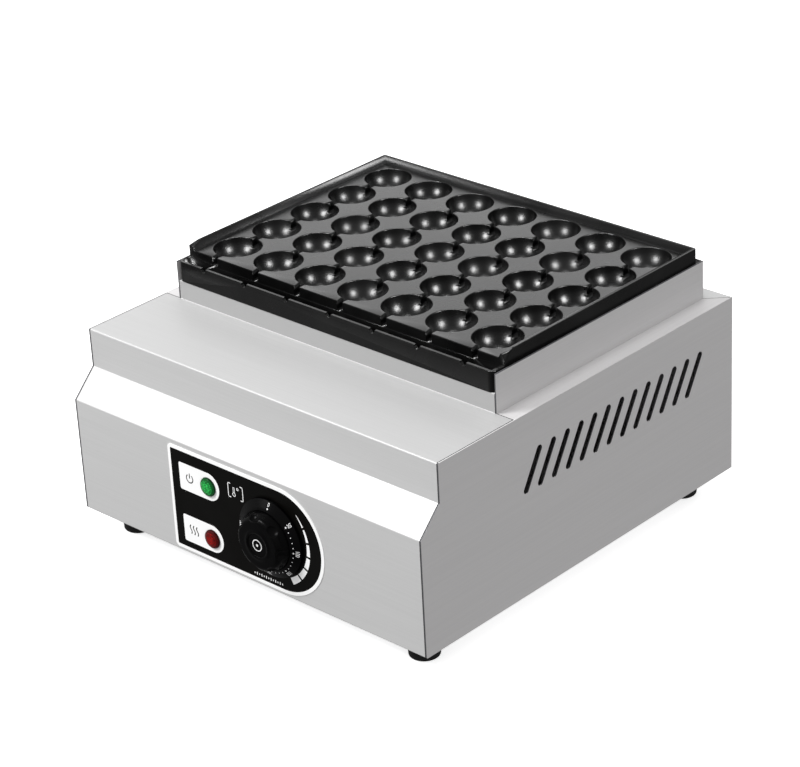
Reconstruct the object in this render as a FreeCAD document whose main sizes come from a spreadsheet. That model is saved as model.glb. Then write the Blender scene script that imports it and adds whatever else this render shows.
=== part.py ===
import FreeCAD, Part
import math
import os
import re
import Sketcher
from FreeCAD import Placement, Rotation, Vector

# Electric takoyaki maker: a stainless steel housing on four feet with a cast pan of round bowls on top.
# Lengths are millimetres. x is to the right, y goes from the front panel to the back, z is up.
# The pieces are drawn from the foot of the front panel, and the whole is centred over the floor.

# Driving sizes, one cell each in the sheet
SIZES = {
    "housing_width": 376,
    "housing_depth": 375,
    "face_height": 99.5,
    "slope_run": 22,
    "slope_rise": 22,
    "upper_height": 33,
    "sheet": 1,
    "seam": 0.7,
    "flange": 14,
    "bend": 1.4,
    "inner_bend": 0.4,
    "collar_width": 342,
    "collar_front": 106.5,
    "collar_side_height": 33,
    "collar_front_height": 16.5,
    "rear_ledge": 16,
    "louvre_length": 39.2,
    "louvre_width": 6,
    "louvre_lean": 29.5,
    "louvre_pitch": 16.5,
    "louvres": 13,
    "louvre_y": 125.8,
    "louvre_z": 105.2,
    "vent_length": 40,
    "vent_width": 4,
    "vent_pitch_x": 60,
    "vent_pitch_y": 14,
    "vent_columns": 4,
    "vent_rows": 6,
    "pan_gap": 1.3,
    "pan_back_gap": 4,
    "pan_overhang": 0.5,
    "pan_wall": 4,
    "plate_rise": 23,
    "plate_thickness": 4,
    "rim_rise": 5.5,
    "rim_top_width": 3,
    "rim_foot_width": 6,
    "rim_end_run": 12,
    "rim_end_drop": 2,
    "rim_foot_round": 1.5,
    "pan_corner": 2.5,
    "trough_corner": 5,
    "trough_wall": 3,
    "trough_width": 10.7,
    "trough_rim_rise": 17.5,
    "trough_floor": 5,
    "trough_end_slope": 6,
    "bowl_diameter": 40,
    "bowl_wall": 3,
    "bowl_lip": 0.8,
    "cast_edge": 0.6,
    "bowl_pitch_x": 46.5,
    "bowl_pitch_y": 45,
    "columns": 7,
    "rows": 5,
    "first_row": 26.6,
    "groove_width": 6,
    "groove_depth": 9,
    "groove_wall": 3,
    "pan_screw_inset": 6,
    "pan_boss_setback": 10,
    "rail_thickness": 1.5,
    "rail_width": 14,
    "rail_drop": 12,
    "heater_diameter": 8,
    "heater_drop": 6,
    "heater_reach": 140,
    "heater_turn": 120,
    "heater_bend": 15,
    "heater_leg_z": 118,
    "heater_hole": 12,
    "insulator_diameter": 9,
    "insulator_length": 6,
    "pin_diameter": 3,
    "pin_length": 18,
    "clamp_width": 12,
    "clamp_thickness": 2,
    "clamp_end": 10,
    "tray_inset": 4,
    "tray_depth": 13,
    "tray_lip": 10,
    "fibre_thickness": 8,
    "bulb_diameter": 6,
    "bulb_length": 80,
    "bulb_drop": 12.5,
    "clip_width": 10,
    "clip_thickness": 1,
    "capillary_diameter": 1.6,
    "foot_height": 21,
    "foot_diameter": 25,
    "foot_top_diameter": 26,
    "foot_inset_x": 29.5,
    "foot_inset_y": 29,
    "foot_round": 2,
    "foot_recess": 10,
    "foot_recess_diameter": 10,
    "label_left": -80,
    "label_right": 87,
    "label_low": 3.3,
    "label_high": 95.5,
    "label_corner": 4,
    "label_thickness": 0.5,
    "lamp_x": -35.8,
    "green_z": 70.5,
    "red_z": 24,
    "lamp_barrel": 12,
    "lamp_flange": 16,
    "lamp_depth": 22,
    "lens_rise": 2.6,
    "dial_x": 32,
    "dial_z": 49.3,
    "knob_reach": 17.5,
    "knob_gap": 0.7,
    "skirt_diameter": 66.4,
    "skirt_edge": 1.8,
    "grip_base_z": 7,
    "grip_diameter": 49,
    "grip_top_diameter": 46.6,
    "grip_round": 4.5,
    "scallop_diameter": 14,
    "scallop_reach": 26.2,
    "scallops": 7,
    "scallop_turn": 8,
    "knob_cap_diameter": 18.6,
    "knob_cap_recess": 1.3,
    "shaft_diameter": 6,
    "running_gap": 0.05,
    "shaft_flat": 1.5,
    "bushing_diameter": 9,
    "bracket_thickness": 1.5,
    "thermostat_width": 38,
    "thermostat_depth": 28,
    "thermostat_screw": 14,
    "gland_x": -120,
    "gland_z": 35,
    "gland_reach": 17.5,
    "gland_hex": 22,
    "gland_hex_thickness": 5,
    "gland_thread": 18,
    "gland_stub": 9,
    "gland_bore": 8.5,
    "block_x": -80,
    "block_y": 305,
    "block_length": 52,
    "block_depth": 22,
    "block_height": 19,
    "block_pitch": 15,
    "earth_x": -35,
    "screw_gap": 0.1,
    "small_screw": 3,
    "medium_screw": 4,
    "large_screw": 5,
    "wire_diameter": 2.6,
}

# Places worked out from the sizes
PLACES = {
    "front_y": "(knob_reach - housing_depth - gland_reach) / 2",
    "half_width": "housing_width / 2",
    "inner_half": "housing_width / 2 - sheet",
    "collar_half": "collar_width / 2",
    "collar_inner": "collar_width / 2 - sheet",
    "deck_z": "face_height + slope_rise + upper_height",
    "collar_side_z": "deck_z + collar_side_height",
    "collar_back": "housing_depth - rear_ledge",
    "seat_z": "deck_z + collar_front_height",
    "slope_length": "sqrt(slope_run ^ 2 + slope_rise ^ 2)",
    "slope_turn": "(slope_length - slope_rise) / slope_run",
    "mitre": "rear_ledge / (half_width - collar_half)",
    "plate_z": "seat_z + plate_rise",
    "plate_under": "plate_z - plate_thickness",
    "rim_z": "plate_z + rim_rise",
    "trough_rim_z": "seat_z + trough_rim_rise",
    "pan_half": "collar_inner - pan_gap",
    "pan_front": "collar_front - pan_overhang",
    "plate_front": "pan_front + trough_wall + trough_width",
    "pan_back": "collar_back - sheet - pan_back_gap",
    "row_y": "plate_front + first_row",
    "last_row_y": "row_y + (rows - 1) * bowl_pitch_y",
    "column_x": "-(columns - 1) / 2 * bowl_pitch_x",
    "rail_edge": "collar_inner - rail_width",
    "rear_rail_y": "collar_back - sheet - rail_width",
    "rear_boss_y": "rear_rail_y - pan_boss_setback",
    "front_boss_y": "plate_front + pan_wall + pan_screw_inset",
    "pan_screw_x": "pan_half - pan_screw_inset",
    "heater_z": "seat_z - heater_drop",
    "clamp_z": "heater_z - heater_diameter / 2 - running_gap",
    "clamp_x": "1.5 * bowl_pitch_x",
    "lip_z": "deck_z - sheet",
    "tray_z": "lip_z - sheet - tray_depth",
    "tray_half": "collar_inner - tray_inset",
    "tray_front": "collar_front + sheet + tray_inset",
    "tray_back": "collar_back - sheet - tray_inset",
    "floor_z": "2 * sheet",
    "bulb_x": "bowl_pitch_x / 2",
    "bulb_z": "plate_z - bulb_drop",
    "bulb_y": "row_y + bowl_pitch_y * 0.6",
    "clip_z": "bulb_z - bulb_diameter / 2 - running_gap",
    "clip_boss_y": "row_y + 3 * bowl_pitch_y",
    "tube_hole_y": "row_y + 4",
    "label_radius": "(label_high - label_low) / 2",
    "label_mid": "(label_high + label_low) / 2",
    "thermostat_y": "sheet + bracket_thickness",
    "thermostat_back": "thermostat_y + thermostat_depth",
}

doc = FreeCAD.newDocument("takoyaki_maker")
sizes = doc.addObject("Spreadsheet::Sheet", "Dims")
for row, (name, size) in enumerate(SIZES.items(), 1):
    sizes.set(f"A{row}", name)
    sizes.set(f"B{row}", str(size))
    sizes.setAlias(f"B{row}", name)
doc.recompute()

nodes = []


# Expressions: plain names stand for the sheet's cells and for the places above
def dims(text):
    def swap(found):
        name = found.group(0)
        if name in PLACES:
            return "(" + dims(PLACES[name]) + ")"
        return "Dims." + name if name in SIZES else name
    return re.sub(r"[a-z_]+", swap, str(text))


def value(text):
    result = sizes.evalExpression(dims(text))
    return float(getattr(result, "Value", result))


def bind(item, name, text):
    item.setExpression(name, dims(text))


# A place in the housing's frame, or turned so that the piece's own z points out of the front
def place(item, x="0", y="0", z="0", front=False):
    if front:
        item.Placement = Placement(Vector(), Rotation(Vector(1, 0, 0), 90))
    bind(item, "Placement.Base.x", x)
    bind(item, "Placement.Base.y", f"front_y + {y}")
    bind(item, "Placement.Base.z", f"foot_height + {z}")


def new_body(label, x="0", y="0", z="0", front=False):
    body = doc.addObject("PartDesign::Body", label)
    body.Label = label
    body.AllowCompound = True
    place(body, x, y, z, front)
    nodes.append(body)
    return body


def origin_feature(body, role):
    return [item for item in body.Origin.OriginFeatures if item.Role == role][0]


# Outlines: corners are (x, y), or (x, y, radius, turn) where an arc runs to the next corner
def arc_between(first, last, radius, turn):
    start = Vector(*first, 0)
    chord = Vector(*last, 0) - start
    side = Vector(-chord.y, chord.x, 0).normalize() * (1 if turn == "left" else -1)
    centre = start + chord / 2 + side * math.sqrt(max(radius ** 2 - chord.Length ** 2 / 4, 0))
    low, high = (first, last) if turn == "left" else (last, first)
    angles = [math.atan2(y - centre.y, x - centre.x) for x, y in (low, high)]
    return Part.ArcOfCircle(Part.Circle(centre, Vector(0, 0, 1), radius), *angles)


def outline(*corners):
    def draw(item):
        spots = [(value(corner[0]), value(corner[1])) for corner in corners]
        edges = []
        for number, corner in enumerate(corners):
            first, last = spots[number], spots[(number + 1) % len(spots)]
            if len(corner) == 2:
                index = item.addGeometry(Part.LineSegment(Vector(*first, 0), Vector(*last, 0)))
                edges.append((index, 1, 2))
            else:
                arc = arc_between(first, last, value(corner[2]), corner[3])
                index = item.addGeometry(arc)
                edges.append((index, 1, 2) if corner[3] == "left" else (index, 2, 1))
                constraint = item.addConstraint(Sketcher.Constraint("Radius", index, value(corner[2])))
                bind(item, f"Constraints[{constraint}]", corner[2])
        for number, (index, start, end) in enumerate(edges):
            following = edges[(number + 1) % len(edges)]
            item.addConstraint(Sketcher.Constraint("Coincident", index, end, following[0], following[1]))
            for kind, text in zip(("DistanceX", "DistanceY"), corners[number][:2]):
                constraint = Sketcher.Constraint(kind, -1, 1, index, start, value(text))
                bind(item, f"Constraints[{item.addConstraint(constraint)}]", text)
    return draw


def rectangle(left, right, low, high):
    return outline((left, low), (right, low), (right, high), (left, high))


def slot(x, y, length, width, lean="0"):
    radius = f"({width}) / 2"

    def spot(run, side):
        across = f"({run}) * sin({lean} * 1 deg) + ({side}) * cos({lean} * 1 deg)"
        up = f"({run}) * cos({lean} * 1 deg) - ({side}) * sin({lean} * 1 deg)"
        return f"{x} + {across}", f"{y} + {up}"
    straight, tip = f"({length} - {width}) / 2", f"({length}) / 2"
    return outline(
        spot(f"-({straight})", radius), (*spot(straight, radius), radius, "left"),
        (*spot(tip, "0"), radius, "left"), spot(straight, f"-({radius})"),
        (*spot(f"-({straight})", f"-({radius})"), radius, "left"), (*spot(f"-({tip})", "0"), radius, "left"),
    )


def hexagon(x, y, flats):
    corners = [
        (f"{x} + ({flats}) / sqrt(3) * cos({angle} deg)", f"{y} + ({flats}) / sqrt(3) * sin({angle} deg)")
        for angle in range(0, 360, 60)
    ]
    return outline(*corners)


def circle(x, y, diameter):
    def draw(item):
        spot = Vector(value(x), value(y), 0)
        index = item.addGeometry(Part.Circle(spot, Vector(0, 0, 1), value(diameter) / 2))
        for kind, text in zip(("DistanceX", "DistanceY"), (x, y)):
            constraint = Sketcher.Constraint(kind, -1, 1, index, 3, value(text))
            bind(item, f"Constraints[{item.addConstraint(constraint)}]", text)
        constraint = item.addConstraint(Sketcher.Constraint("Diameter", index, value(diameter)))
        bind(item, f"Constraints[{constraint}]", diameter)
    return draw


# Sketch planes: across x the sketch reads (y, z), across y it reads (x, z), across z it reads (x, y)
PLANES = {"X": ("YZ_Plane", 1), "Y": ("XZ_Plane", -1), "Z": ("XY_Plane", 1)}


def new_sketch(body, axis, level, shapes):
    role, sign = PLANES[axis]
    item = body.newObject("Sketcher::SketchObject", "Sketch")
    item.AttachmentSupport = [(origin_feature(body, role), "")]
    item.MapMode = "FlatFace"
    bind(item, "AttachmentOffset.Base.z", f"{sign} * ({level})")
    for draw in shapes:
        draw(item)
    return item


# A feature has to compute, and to add or take material as it says
def volume_of(body):
    return body.Shape.Volume if body.Tip and body.Tip.Shape.Solids else 0.0


def finish(body, feature, before, sense):
    body.Tip = feature
    doc.recompute()
    change = (volume_of(body) - before) * sense
    if "Invalid" in feature.State or "Error" in feature.State or change <= 0:
        raise RuntimeError(f"{body.Label}: {feature.Name} failed, volume change {change:.3f}")
    return feature


def pad(body, axis, low, high, *shapes):
    before = volume_of(body)
    profile = new_sketch(body, axis, high if axis == "Y" else low, shapes)
    feature = body.newObject("PartDesign::Pad", "Pad")
    feature.Profile = profile
    bind(feature, "Length", f"({high}) - ({low})")
    return finish(body, feature, before, 1)


def pocket(body, axis, low, high, *shapes):
    before = volume_of(body)
    profile = new_sketch(body, axis, low if axis == "Y" else high, shapes)
    feature = body.newObject("PartDesign::Pocket", "Pocket")
    feature.Profile = profile
    bind(feature, "Length", f"({high}) - ({low})")
    return finish(body, feature, before, -1)


def loft_cut(body, low, high, low_shape, high_shape):
    before = volume_of(body)
    first = new_sketch(body, "Z", low, [low_shape])
    last = new_sketch(body, "Z", high, [high_shape])
    feature = body.newObject("PartDesign::SubtractiveLoft", "Loft")
    feature.Profile = first
    feature.Sections = [last]
    feature.Ruled = True
    return finish(body, feature, before, -1)


def turn(body, *corners):
    before = volume_of(body)
    profile = new_sketch(body, "Y", "0", [outline(*corners)])
    feature = body.newObject("PartDesign::Revolution", "Revolution")
    feature.Profile = profile
    feature.ReferenceAxis = (profile, ["V_Axis"])
    feature.Angle = 360
    return finish(body, feature, before, 1)


def ball(body, kind, x, y, z, diameter, top=90):
    before = volume_of(body)
    feature = body.newObject(f"PartDesign::{kind}Sphere", "Ball")
    bind(feature, "Radius", f"({diameter}) / 2")
    feature.Angle2 = top
    for letter, text in zip("xyz", (x, y, z)):
        bind(feature, f"Placement.Base.{letter}", text)
    return finish(body, feature, before, 1 if kind == "Additive" else -1)


def repeat(body, feature, role, pitch, count, second=None):
    before = volume_of(body)
    pattern = body.newObject("PartDesign::LinearPattern", "Pattern")
    pattern.Originals = [feature]
    pattern.Direction = (origin_feature(body, role), [""])
    bind(pattern, "Length", f"({pitch}) * ({count} - 1)")
    bind(pattern, "Occurrences", count)
    if second:
        role, pitch, count = second
        pattern.Direction2 = (origin_feature(body, role), [""])
        bind(pattern, "Length2", f"({pitch}) * ({count} - 1)")
        bind(pattern, "Occurrences2", count)
    sense = -1 if "Subtractive" in feature.TypeId or "Pocket" in feature.TypeId else 1
    return finish(body, pattern, before, sense)


def ring(body, feature, count):
    before = volume_of(body)
    pattern = body.newObject("PartDesign::PolarPattern", "Pattern")
    pattern.Originals = [feature]
    pattern.Axis = (origin_feature(body, "Z_Axis"), [""])
    pattern.Angle = 360
    bind(pattern, "Occurrences", count)
    return finish(body, pattern, before, -1)


def along(axis, **spot):
    def test(edge):
        if edge.Degenerated or edge.Curve.TypeId != "Part::GeomLine":
            return False
        run = edge.Vertexes[1].Point - edge.Vertexes[0].Point
        if abs(abs(getattr(run, axis)) - run.Length) > 1e-4:
            return False
        start = edge.Vertexes[0].Point
        return all(abs(getattr(start, letter) - value(text)) < 1e-3 for letter, text in spot.items())
    return test


def around(radius, level):
    def test(edge):
        if edge.Degenerated or edge.Curve.TypeId != "Part::GeomCircle":
            return False
        circle = edge.Curve
        return abs(circle.Radius - value(radius)) < 1e-3 and abs(circle.Center.z - value(level)) < 1e-3
    return test


def round_edges(body, radius, *tests):
    base = body.Tip
    names = [
        f"Edge{number}"
        for number, edge in enumerate(base.Shape.Edges, 1)
        if any(test(edge) for test in tests)
    ]
    if not names:
        raise RuntimeError(f"{body.Label}: no edge to round")
    feature = body.newObject("PartDesign::Fillet", "Fillet")
    feature.Base = (base, names)
    bind(feature, "Radius", radius)
    body.Tip = feature
    doc.recompute()
    if "Invalid" in feature.State or "Error" in feature.State:
        raise RuntimeError(f"{body.Label}: rounding failed")
    return feature


# The pan: one casting with a rim, bowls, score grooves and a trough
def make_pan():
    body = new_body("takoyaki_pan")
    pad(body, "Z", "seat_z", "rim_z", rectangle("-pan_half", "pan_half", "pan_front", "pan_back"))
    round_edges(body, "trough_corner", along("z", y="pan_front"))
    round_edges(body, "pan_corner", along("z", y="pan_back"))

    basin = [
        rectangle(f"-pan_half + {width}", f"pan_half - {width}", "pan_front - 5", f"pan_back - {width}")
        for width in ("rim_foot_width", "rim_top_width")
    ]
    loft_cut(body, "plate_z", "rim_z", *basin)
    rim_end = outline(
        ("pan_front - 1", "trough_rim_z"), ("plate_front", "trough_rim_z"),
        ("plate_front", "rim_z - rim_end_drop"), ("plate_front + rim_end_run", "rim_z"),
        ("plate_front + rim_end_run", "rim_z + 1"), ("pan_front - 1", "rim_z + 1"),
    )
    pocket(body, "X", "-pan_half - 1", "pan_half + 1", rim_end)
    trough = [
        rectangle(
            f"-pan_half + trough_wall + {slope}", f"pan_half - trough_wall - {slope}",
            "pan_front + trough_wall", "plate_front",
        )
        for slope in ("trough_end_slope", "0")
    ]
    loft_cut(body, "seat_z + trough_floor", "trough_rim_z", *trough)
    hollow = rectangle("-pan_half + pan_wall", "pan_half - pan_wall", "plate_front + pan_wall", "pan_back - pan_wall")
    pocket(body, "Z", "seat_z", "plate_under", hollow)
    round_edges(
        body, "rim_foot_round",
        along("x", y="pan_back - rim_foot_width", z="plate_z"),
        along("y", x="pan_half - rim_foot_width", z="plate_z"),
        along("y", x="-pan_half + rim_foot_width", z="plate_z"),
    )
    add_pan_bosses(body)
    add_bowls(body)
    round_edges(
        body, "cast_edge",
        along("x", y="plate_front", z="plate_z"), along("x", y="pan_back", z="rim_z"),
        along("x", y="pan_front", z="trough_rim_z"), along("x", y="pan_front + trough_wall", z="trough_rim_z"),
    )


# Bosses under the plate, each with the hole that its screw cuts its thread in
def add_pan_bosses(body):
    corners = [(f"{side} * pan_screw_x", y) for side in (-1, 1) for y in ("front_boss_y", "rear_boss_y")]
    clamps = [(f"{side} * clamp_x", f"row_y + {row} * bowl_pitch_y") for side in (-1, 1) for row in (0, 2, 4)]
    clip = [("bulb_x", "clip_boss_y")]
    for spots, foot, screw, depth in (
        (corners, "seat_z", "large_screw", 14),
        (clamps, "clamp_z", "large_screw", 14),
        (clip, "clip_z", "medium_screw", 9),
    ):
        pad(body, "Z", foot, "plate_under", *[circle(x, y, f"2 * {screw}") for x, y in spots])
        pocket(body, "Z", foot, f"{foot} + {depth}", *[circle(x, y, f"{screw} + screw_gap") for x, y in spots])


def add_bowls(body):
    columns = ("X_Axis", "bowl_pitch_x", "columns")
    rows = ("Y_Axis", "bowl_pitch_y", "rows")
    shell = ball(body, "Additive", "column_x", "row_y", "plate_z", "bowl_diameter + 2 * bowl_wall", top=-6)
    repeat(body, shell, *columns, second=rows)
    rib_half = "(groove_width / 2 + groove_wall)"
    rib_shape = rectangle(
        f"column_x - {rib_half}", f"column_x + {rib_half}", "plate_front + pan_wall", "last_row_y"
    )
    rib = pad(body, "Z", "plate_z - groove_depth - groove_wall", "plate_under", rib_shape)
    repeat(body, rib, *columns)
    bowl = ball(body, "Subtractive", "column_x", "row_y", "plate_z", "bowl_diameter")
    repeat(body, bowl, *columns, second=rows)
    round_edges(body, "bowl_lip", around("bowl_diameter / 2", "plate_z"))

    half = "(groove_width / 2)"
    bend_z = f"plate_z - groove_depth + {half}"
    groove_shape = outline(
        (f"column_x - {half}", "rim_z + 1"), (f"column_x - {half}", bend_z, half, "left"),
        ("column_x", "plate_z - groove_depth", half, "left"), (f"column_x + {half}", bend_z),
        (f"column_x + {half}", "rim_z + 1"),
    )
    groove = pocket(body, "Y", "pan_front - 1", "last_row_y", groove_shape)
    repeat(body, groove, *columns)


# The shoulder of the front panel: the same outer line serves the side panels
def shoulder():
    hem, dip = "bend * slope_turn", "inner_bend * slope_turn"
    run, rise = "slope_run / slope_length", "slope_rise / slope_length"
    return [
        ("0", f"face_height - {hem}", "bend", "right"), (f"{hem} * {run}", f"face_height + {hem} * {rise}"),
        (f"slope_run - {dip} * {run}", f"face_height + slope_rise - {dip} * {rise}", "inner_bend", "left"),
        ("slope_run", f"face_height + slope_rise + {dip}"),
        ("slope_run", "deck_z - bend", "bend", "right"), ("slope_run + bend", "deck_z"),
    ]


# Front panel: lower face, shoulder, upper face, deck and the front wall of the collar in one bent sheet
def make_front_panel():
    body = new_body("front_panel")
    section = outline(
        ("flange", "0"), ("bend", "0", "bend", "right"), ("0", "bend"), *shoulder(),
        ("collar_front", "deck_z"), ("collar_front", "deck_z - sheet"),
        ("slope_run + sheet", "deck_z - sheet"),
        ("slope_run + sheet", "face_height + slope_rise - sheet * slope_turn"),
        ("sheet", "face_height - sheet * slope_turn"), ("sheet", "sheet"), ("flange", "sheet"),
    )
    pad(body, "X", "-inner_half + seam", "inner_half - seam", section)
    wall = outline(
        ("collar_front - inner_bend", "deck_z - sheet"),
        ("collar_front - inner_bend", "deck_z", "inner_bend", "left"), ("collar_front", "deck_z + inner_bend"),
        ("collar_front", "seat_z - bend", "bend", "right"),
        ("collar_front + bend", "seat_z"), ("collar_front + flange", "seat_z"),
        ("collar_front + flange", "seat_z - sheet"), ("collar_front + sheet", "seat_z - sheet"),
        ("collar_front + sheet", "deck_z - sheet"),
    )
    pad(body, "X", "-collar_inner + seam", "collar_inner - seam", wall)
    holes = [
        circle("lamp_x", "green_z", "lamp_barrel + 4 * screw_gap"),
        circle("lamp_x", "red_z", "lamp_barrel + 4 * screw_gap"),
        circle("dial_x", "dial_z", "bushing_diameter + 1"),
        circle("dial_x - thermostat_screw", "dial_z", "medium_screw + 0.4"),
        circle("dial_x + thermostat_screw", "dial_z", "medium_screw + 0.4"),
    ]
    pocket(body, "Y", "0", "sheet", *holes)


# Side panel: face with slanted vent slots, ledge and side wall of the collar
def make_side_panel(label, side):
    def across(inner, outer):
        return (inner, outer) if side > 0 else (f"-({outer})", f"-({inner})")

    def mirrored(*corners):
        return outline(*[(f"{side} * ({x})", y) for x, y in corners[::side]])
    body = new_body(label)
    face = outline(
        ("bend", "0", "bend", "right"), ("0", "bend"), *shoulder(),
        ("housing_depth", "deck_z"), ("housing_depth", "0"),
    )
    pad(body, "X", *across("inner_half", "half_width"), face)
    ledge = mirrored(
        ("collar_inner", "collar_front + seam"), ("half_width", "collar_front + seam"),
        ("half_width", "housing_depth"), ("inner_half", "housing_depth"),
        ("inner_half", "housing_depth - sheet * mitre - seam"), ("collar_half", "collar_back - seam"),
        ("collar_inner", "collar_back - seam"),
    )
    pad(body, "Z", "deck_z - sheet", "deck_z", ledge)
    wall = rectangle("collar_front", "collar_back", "deck_z - sheet", "collar_side_z")
    pad(body, "X", *across("collar_inner", "collar_half"), wall)
    flange = across("half_width - flange", "half_width")
    pad(body, "Z", "0", "sheet", rectangle(*flange, "flange + seam", "housing_depth - flange - seam"))
    pad(body, "Y", "sheet", "2 * sheet", rectangle(*flange, "3 * sheet", "face_height - 3 * sheet"))
    rear = rectangle(*flange, "3 * sheet", "deck_z - 3 * sheet")
    pad(body, "Y", "housing_depth - 2 * sheet", "housing_depth - sheet", rear)
    spots = [(f"{side} * (half_width - flange / 2)", z) for z in rear_screw_heights()]
    holes = [circle(x, z, "small_screw + screw_gap") for x, z in spots]
    pocket(body, "Y", "housing_depth - 2 * sheet", "housing_depth - sheet", *holes)
    holes = [circle(x, y, "small_screw + screw_gap") for x, y in base_screw_spots() if x.startswith(str(side))]
    pocket(body, "Z", "0", "sheet", *holes)
    louvre = pocket(
        body, "X", *across("inner_half", "half_width"),
        slot("louvre_y", "louvre_z", "louvre_length", "louvre_width", "louvre_lean"),
    )
    repeat(body, louvre, "Y_Axis", "louvre_pitch", "louvres")


def rear_screw_heights():
    return ["flange", "deck_z / 2", "deck_z - flange"]


def base_screw_spots():
    return [
        (f"{side} * (half_width - flange / 2)", f"housing_depth * {share}")
        for side in (1, -1) for share in (0.15, 0.5, 0.85)
    ]


# Rear panel: back face, rear ledge and back wall of the collar
def make_rear_panel():
    body = new_body("rear_panel")
    edge = "inner_half - seam"
    pad(body, "Y", "housing_depth - sheet", "housing_depth", rectangle(f"-({edge})", edge, "0", "deck_z"))
    pad(body, "Z", "0", "sheet", rectangle(f"-({edge})", edge, "housing_depth - flange", "housing_depth"))
    corner_y = "housing_depth - (sheet + seam) * mitre"
    ledge = outline(
        ("-collar_half", "collar_back"), ("collar_half", "collar_back"), (edge, corner_y),
        (edge, "housing_depth"), (f"-({edge})", "housing_depth"), (f"-({edge})", corner_y),
    )
    pad(body, "Z", "deck_z - sheet", "deck_z", ledge)
    wall_half = "(collar_inner - seam)"
    wall = rectangle(f"-{wall_half}", wall_half, "deck_z - sheet", "collar_side_z")
    pad(body, "Y", "collar_back - sheet", "collar_back", wall)
    spots = [(f"{side} * (half_width - flange / 2)", z) for side in (-1, 1) for z in rear_screw_heights()]
    holes = [circle(x, z, "small_screw + screw_gap") for x, z in spots]
    pocket(
        body, "Y", "housing_depth - sheet", "housing_depth", *holes,
        circle("gland_x", "gland_z", "gland_thread + 4 * screw_gap"),
    )


# Base plate: lies on the flanges, with vent slots and the holes for feet, screws and earth stud
def make_base_plate():
    body = new_body("base_plate")
    edge = "inner_half - seam"
    plate = rectangle(f"-({edge})", edge, "sheet + seam", "housing_depth - 2 * sheet - seam")
    pad(body, "Z", "sheet", "floor_z", plate)
    holes = [circle(x, y, "medium_screw + screw_gap") for x, y in foot_spots().values()]
    holes += [circle(x, y, "small_screw + screw_gap") for x, y in base_screw_spots()]
    holes += [circle("earth_x", "block_y", "large_screw + screw_gap")]
    holes += [circle(x, "block_y", "small_screw + screw_gap") for x in block_fixings()]
    pocket(body, "Z", "sheet", "floor_z", *holes)
    first_x = "-(vent_columns - 1) / 2 * vent_pitch_x"
    first_y = "housing_depth / 2 - (vent_rows - 1) / 2 * vent_pitch_y"
    vent = pocket(body, "Z", "sheet", "floor_z", slot(first_x, first_y, "vent_length", "vent_width", "90"))
    repeat(
        body, vent, "X_Axis", "vent_pitch_x", "vent_columns",
        second=("Y_Axis", "vent_pitch_y", "vent_rows"),
    )


def foot_spots():
    return {
        f"{end}_{side}": (f"{sign} * (half_width - foot_inset_x)", y)
        for end, y in (("front", "foot_inset_y"), ("rear", "housing_depth - foot_inset_y"))
        for side, sign in (("left", -1), ("right", 1))
    }


# Rubber feet, each with a recess that hides its screw
def make_feet():
    for name, (x, y) in foot_spots().items():
        body = new_body(f"foot_{name}", x, y)
        hole, recess = "(medium_screw + screw_gap) / 2", "foot_recess_diameter / 2"
        turn(
            body, (hole, "sheet"), (hole, "foot_recess - foot_height"), (recess, "foot_recess - foot_height"),
            (recess, "-foot_height"), ("foot_diameter / 2 - foot_round", "-foot_height", "foot_round", "left"),
            ("foot_diameter / 2", "foot_round - foot_height"), ("foot_top_diameter / 2", "sheet"),
        )
    spots = list(foot_spots().values())
    seat = "foot_recess - foot_height"
    screws = new_body("foot_screws")
    pad(screws, "Z", f"{seat} - 2.4", seat, *[circle(x, y, "2 * medium_screw") for x, y in spots])
    pad(screws, "Z", seat, "floor_z + 5", *[circle(x, y, "medium_screw") for x, y in spots])
    nuts = new_body("foot_nuts")
    pad(nuts, "Z", "floor_z", "floor_z + 3.2", *[hexagon(x, y, "7") for x, y in spots])
    pocket(nuts, "Z", "floor_z", "floor_z + 3.2", *[circle(x, y, "medium_screw + screw_gap") for x, y in spots])


def make_base_screws():
    spots = base_screw_spots()
    body = new_body("base_screws")
    pad(body, "Z", "-2", "0", *[circle(x, y, "2 * small_screw") for x, y in spots])
    pad(body, "Z", "0", "floor_z + 4", *[circle(x, y, "small_screw") for x, y in spots])


def cross(x, z, size, width):
    long, short = f"({size}) / 2", f"({width}) / 2"
    signs = [(1, 1), (-1, 1), (-1, -1), (1, -1)]
    corners = []
    for number, (right, up) in enumerate(signs):
        reach = [(f"{right} * {long}", f"{up} * {short}"), (f"{right} * {short}", f"{up} * {short}"),
                 (f"{right} * {short}", f"{up} * {long}")]
        corners += reach if number % 2 == 0 else reach[::-1]
    return outline(*[(f"{x} + {across}", f"{z} + {rise}") for across, rise in corners])


# Rear screws: pan heads with a cross recess, seen from behind
def make_rear_screws():
    spots = [(f"{side} * (half_width - flange / 2)", z) for side in (-1, 1) for z in rear_screw_heights()]
    body = new_body("rear_screws")
    pad(body, "Y", "housing_depth", "housing_depth + 2", *[circle(x, z, "2 * small_screw") for x, z in spots])
    pad(body, "Y", "housing_depth - 7", "housing_depth", *[circle(x, z, "small_screw") for x, z in spots])
    recesses = [cross(x, z, "0.62 * 2 * small_screw", "0.9") for x, z in spots]
    pocket(body, "Y", "housing_depth + 1", "housing_depth + 2", *recesses)


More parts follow.
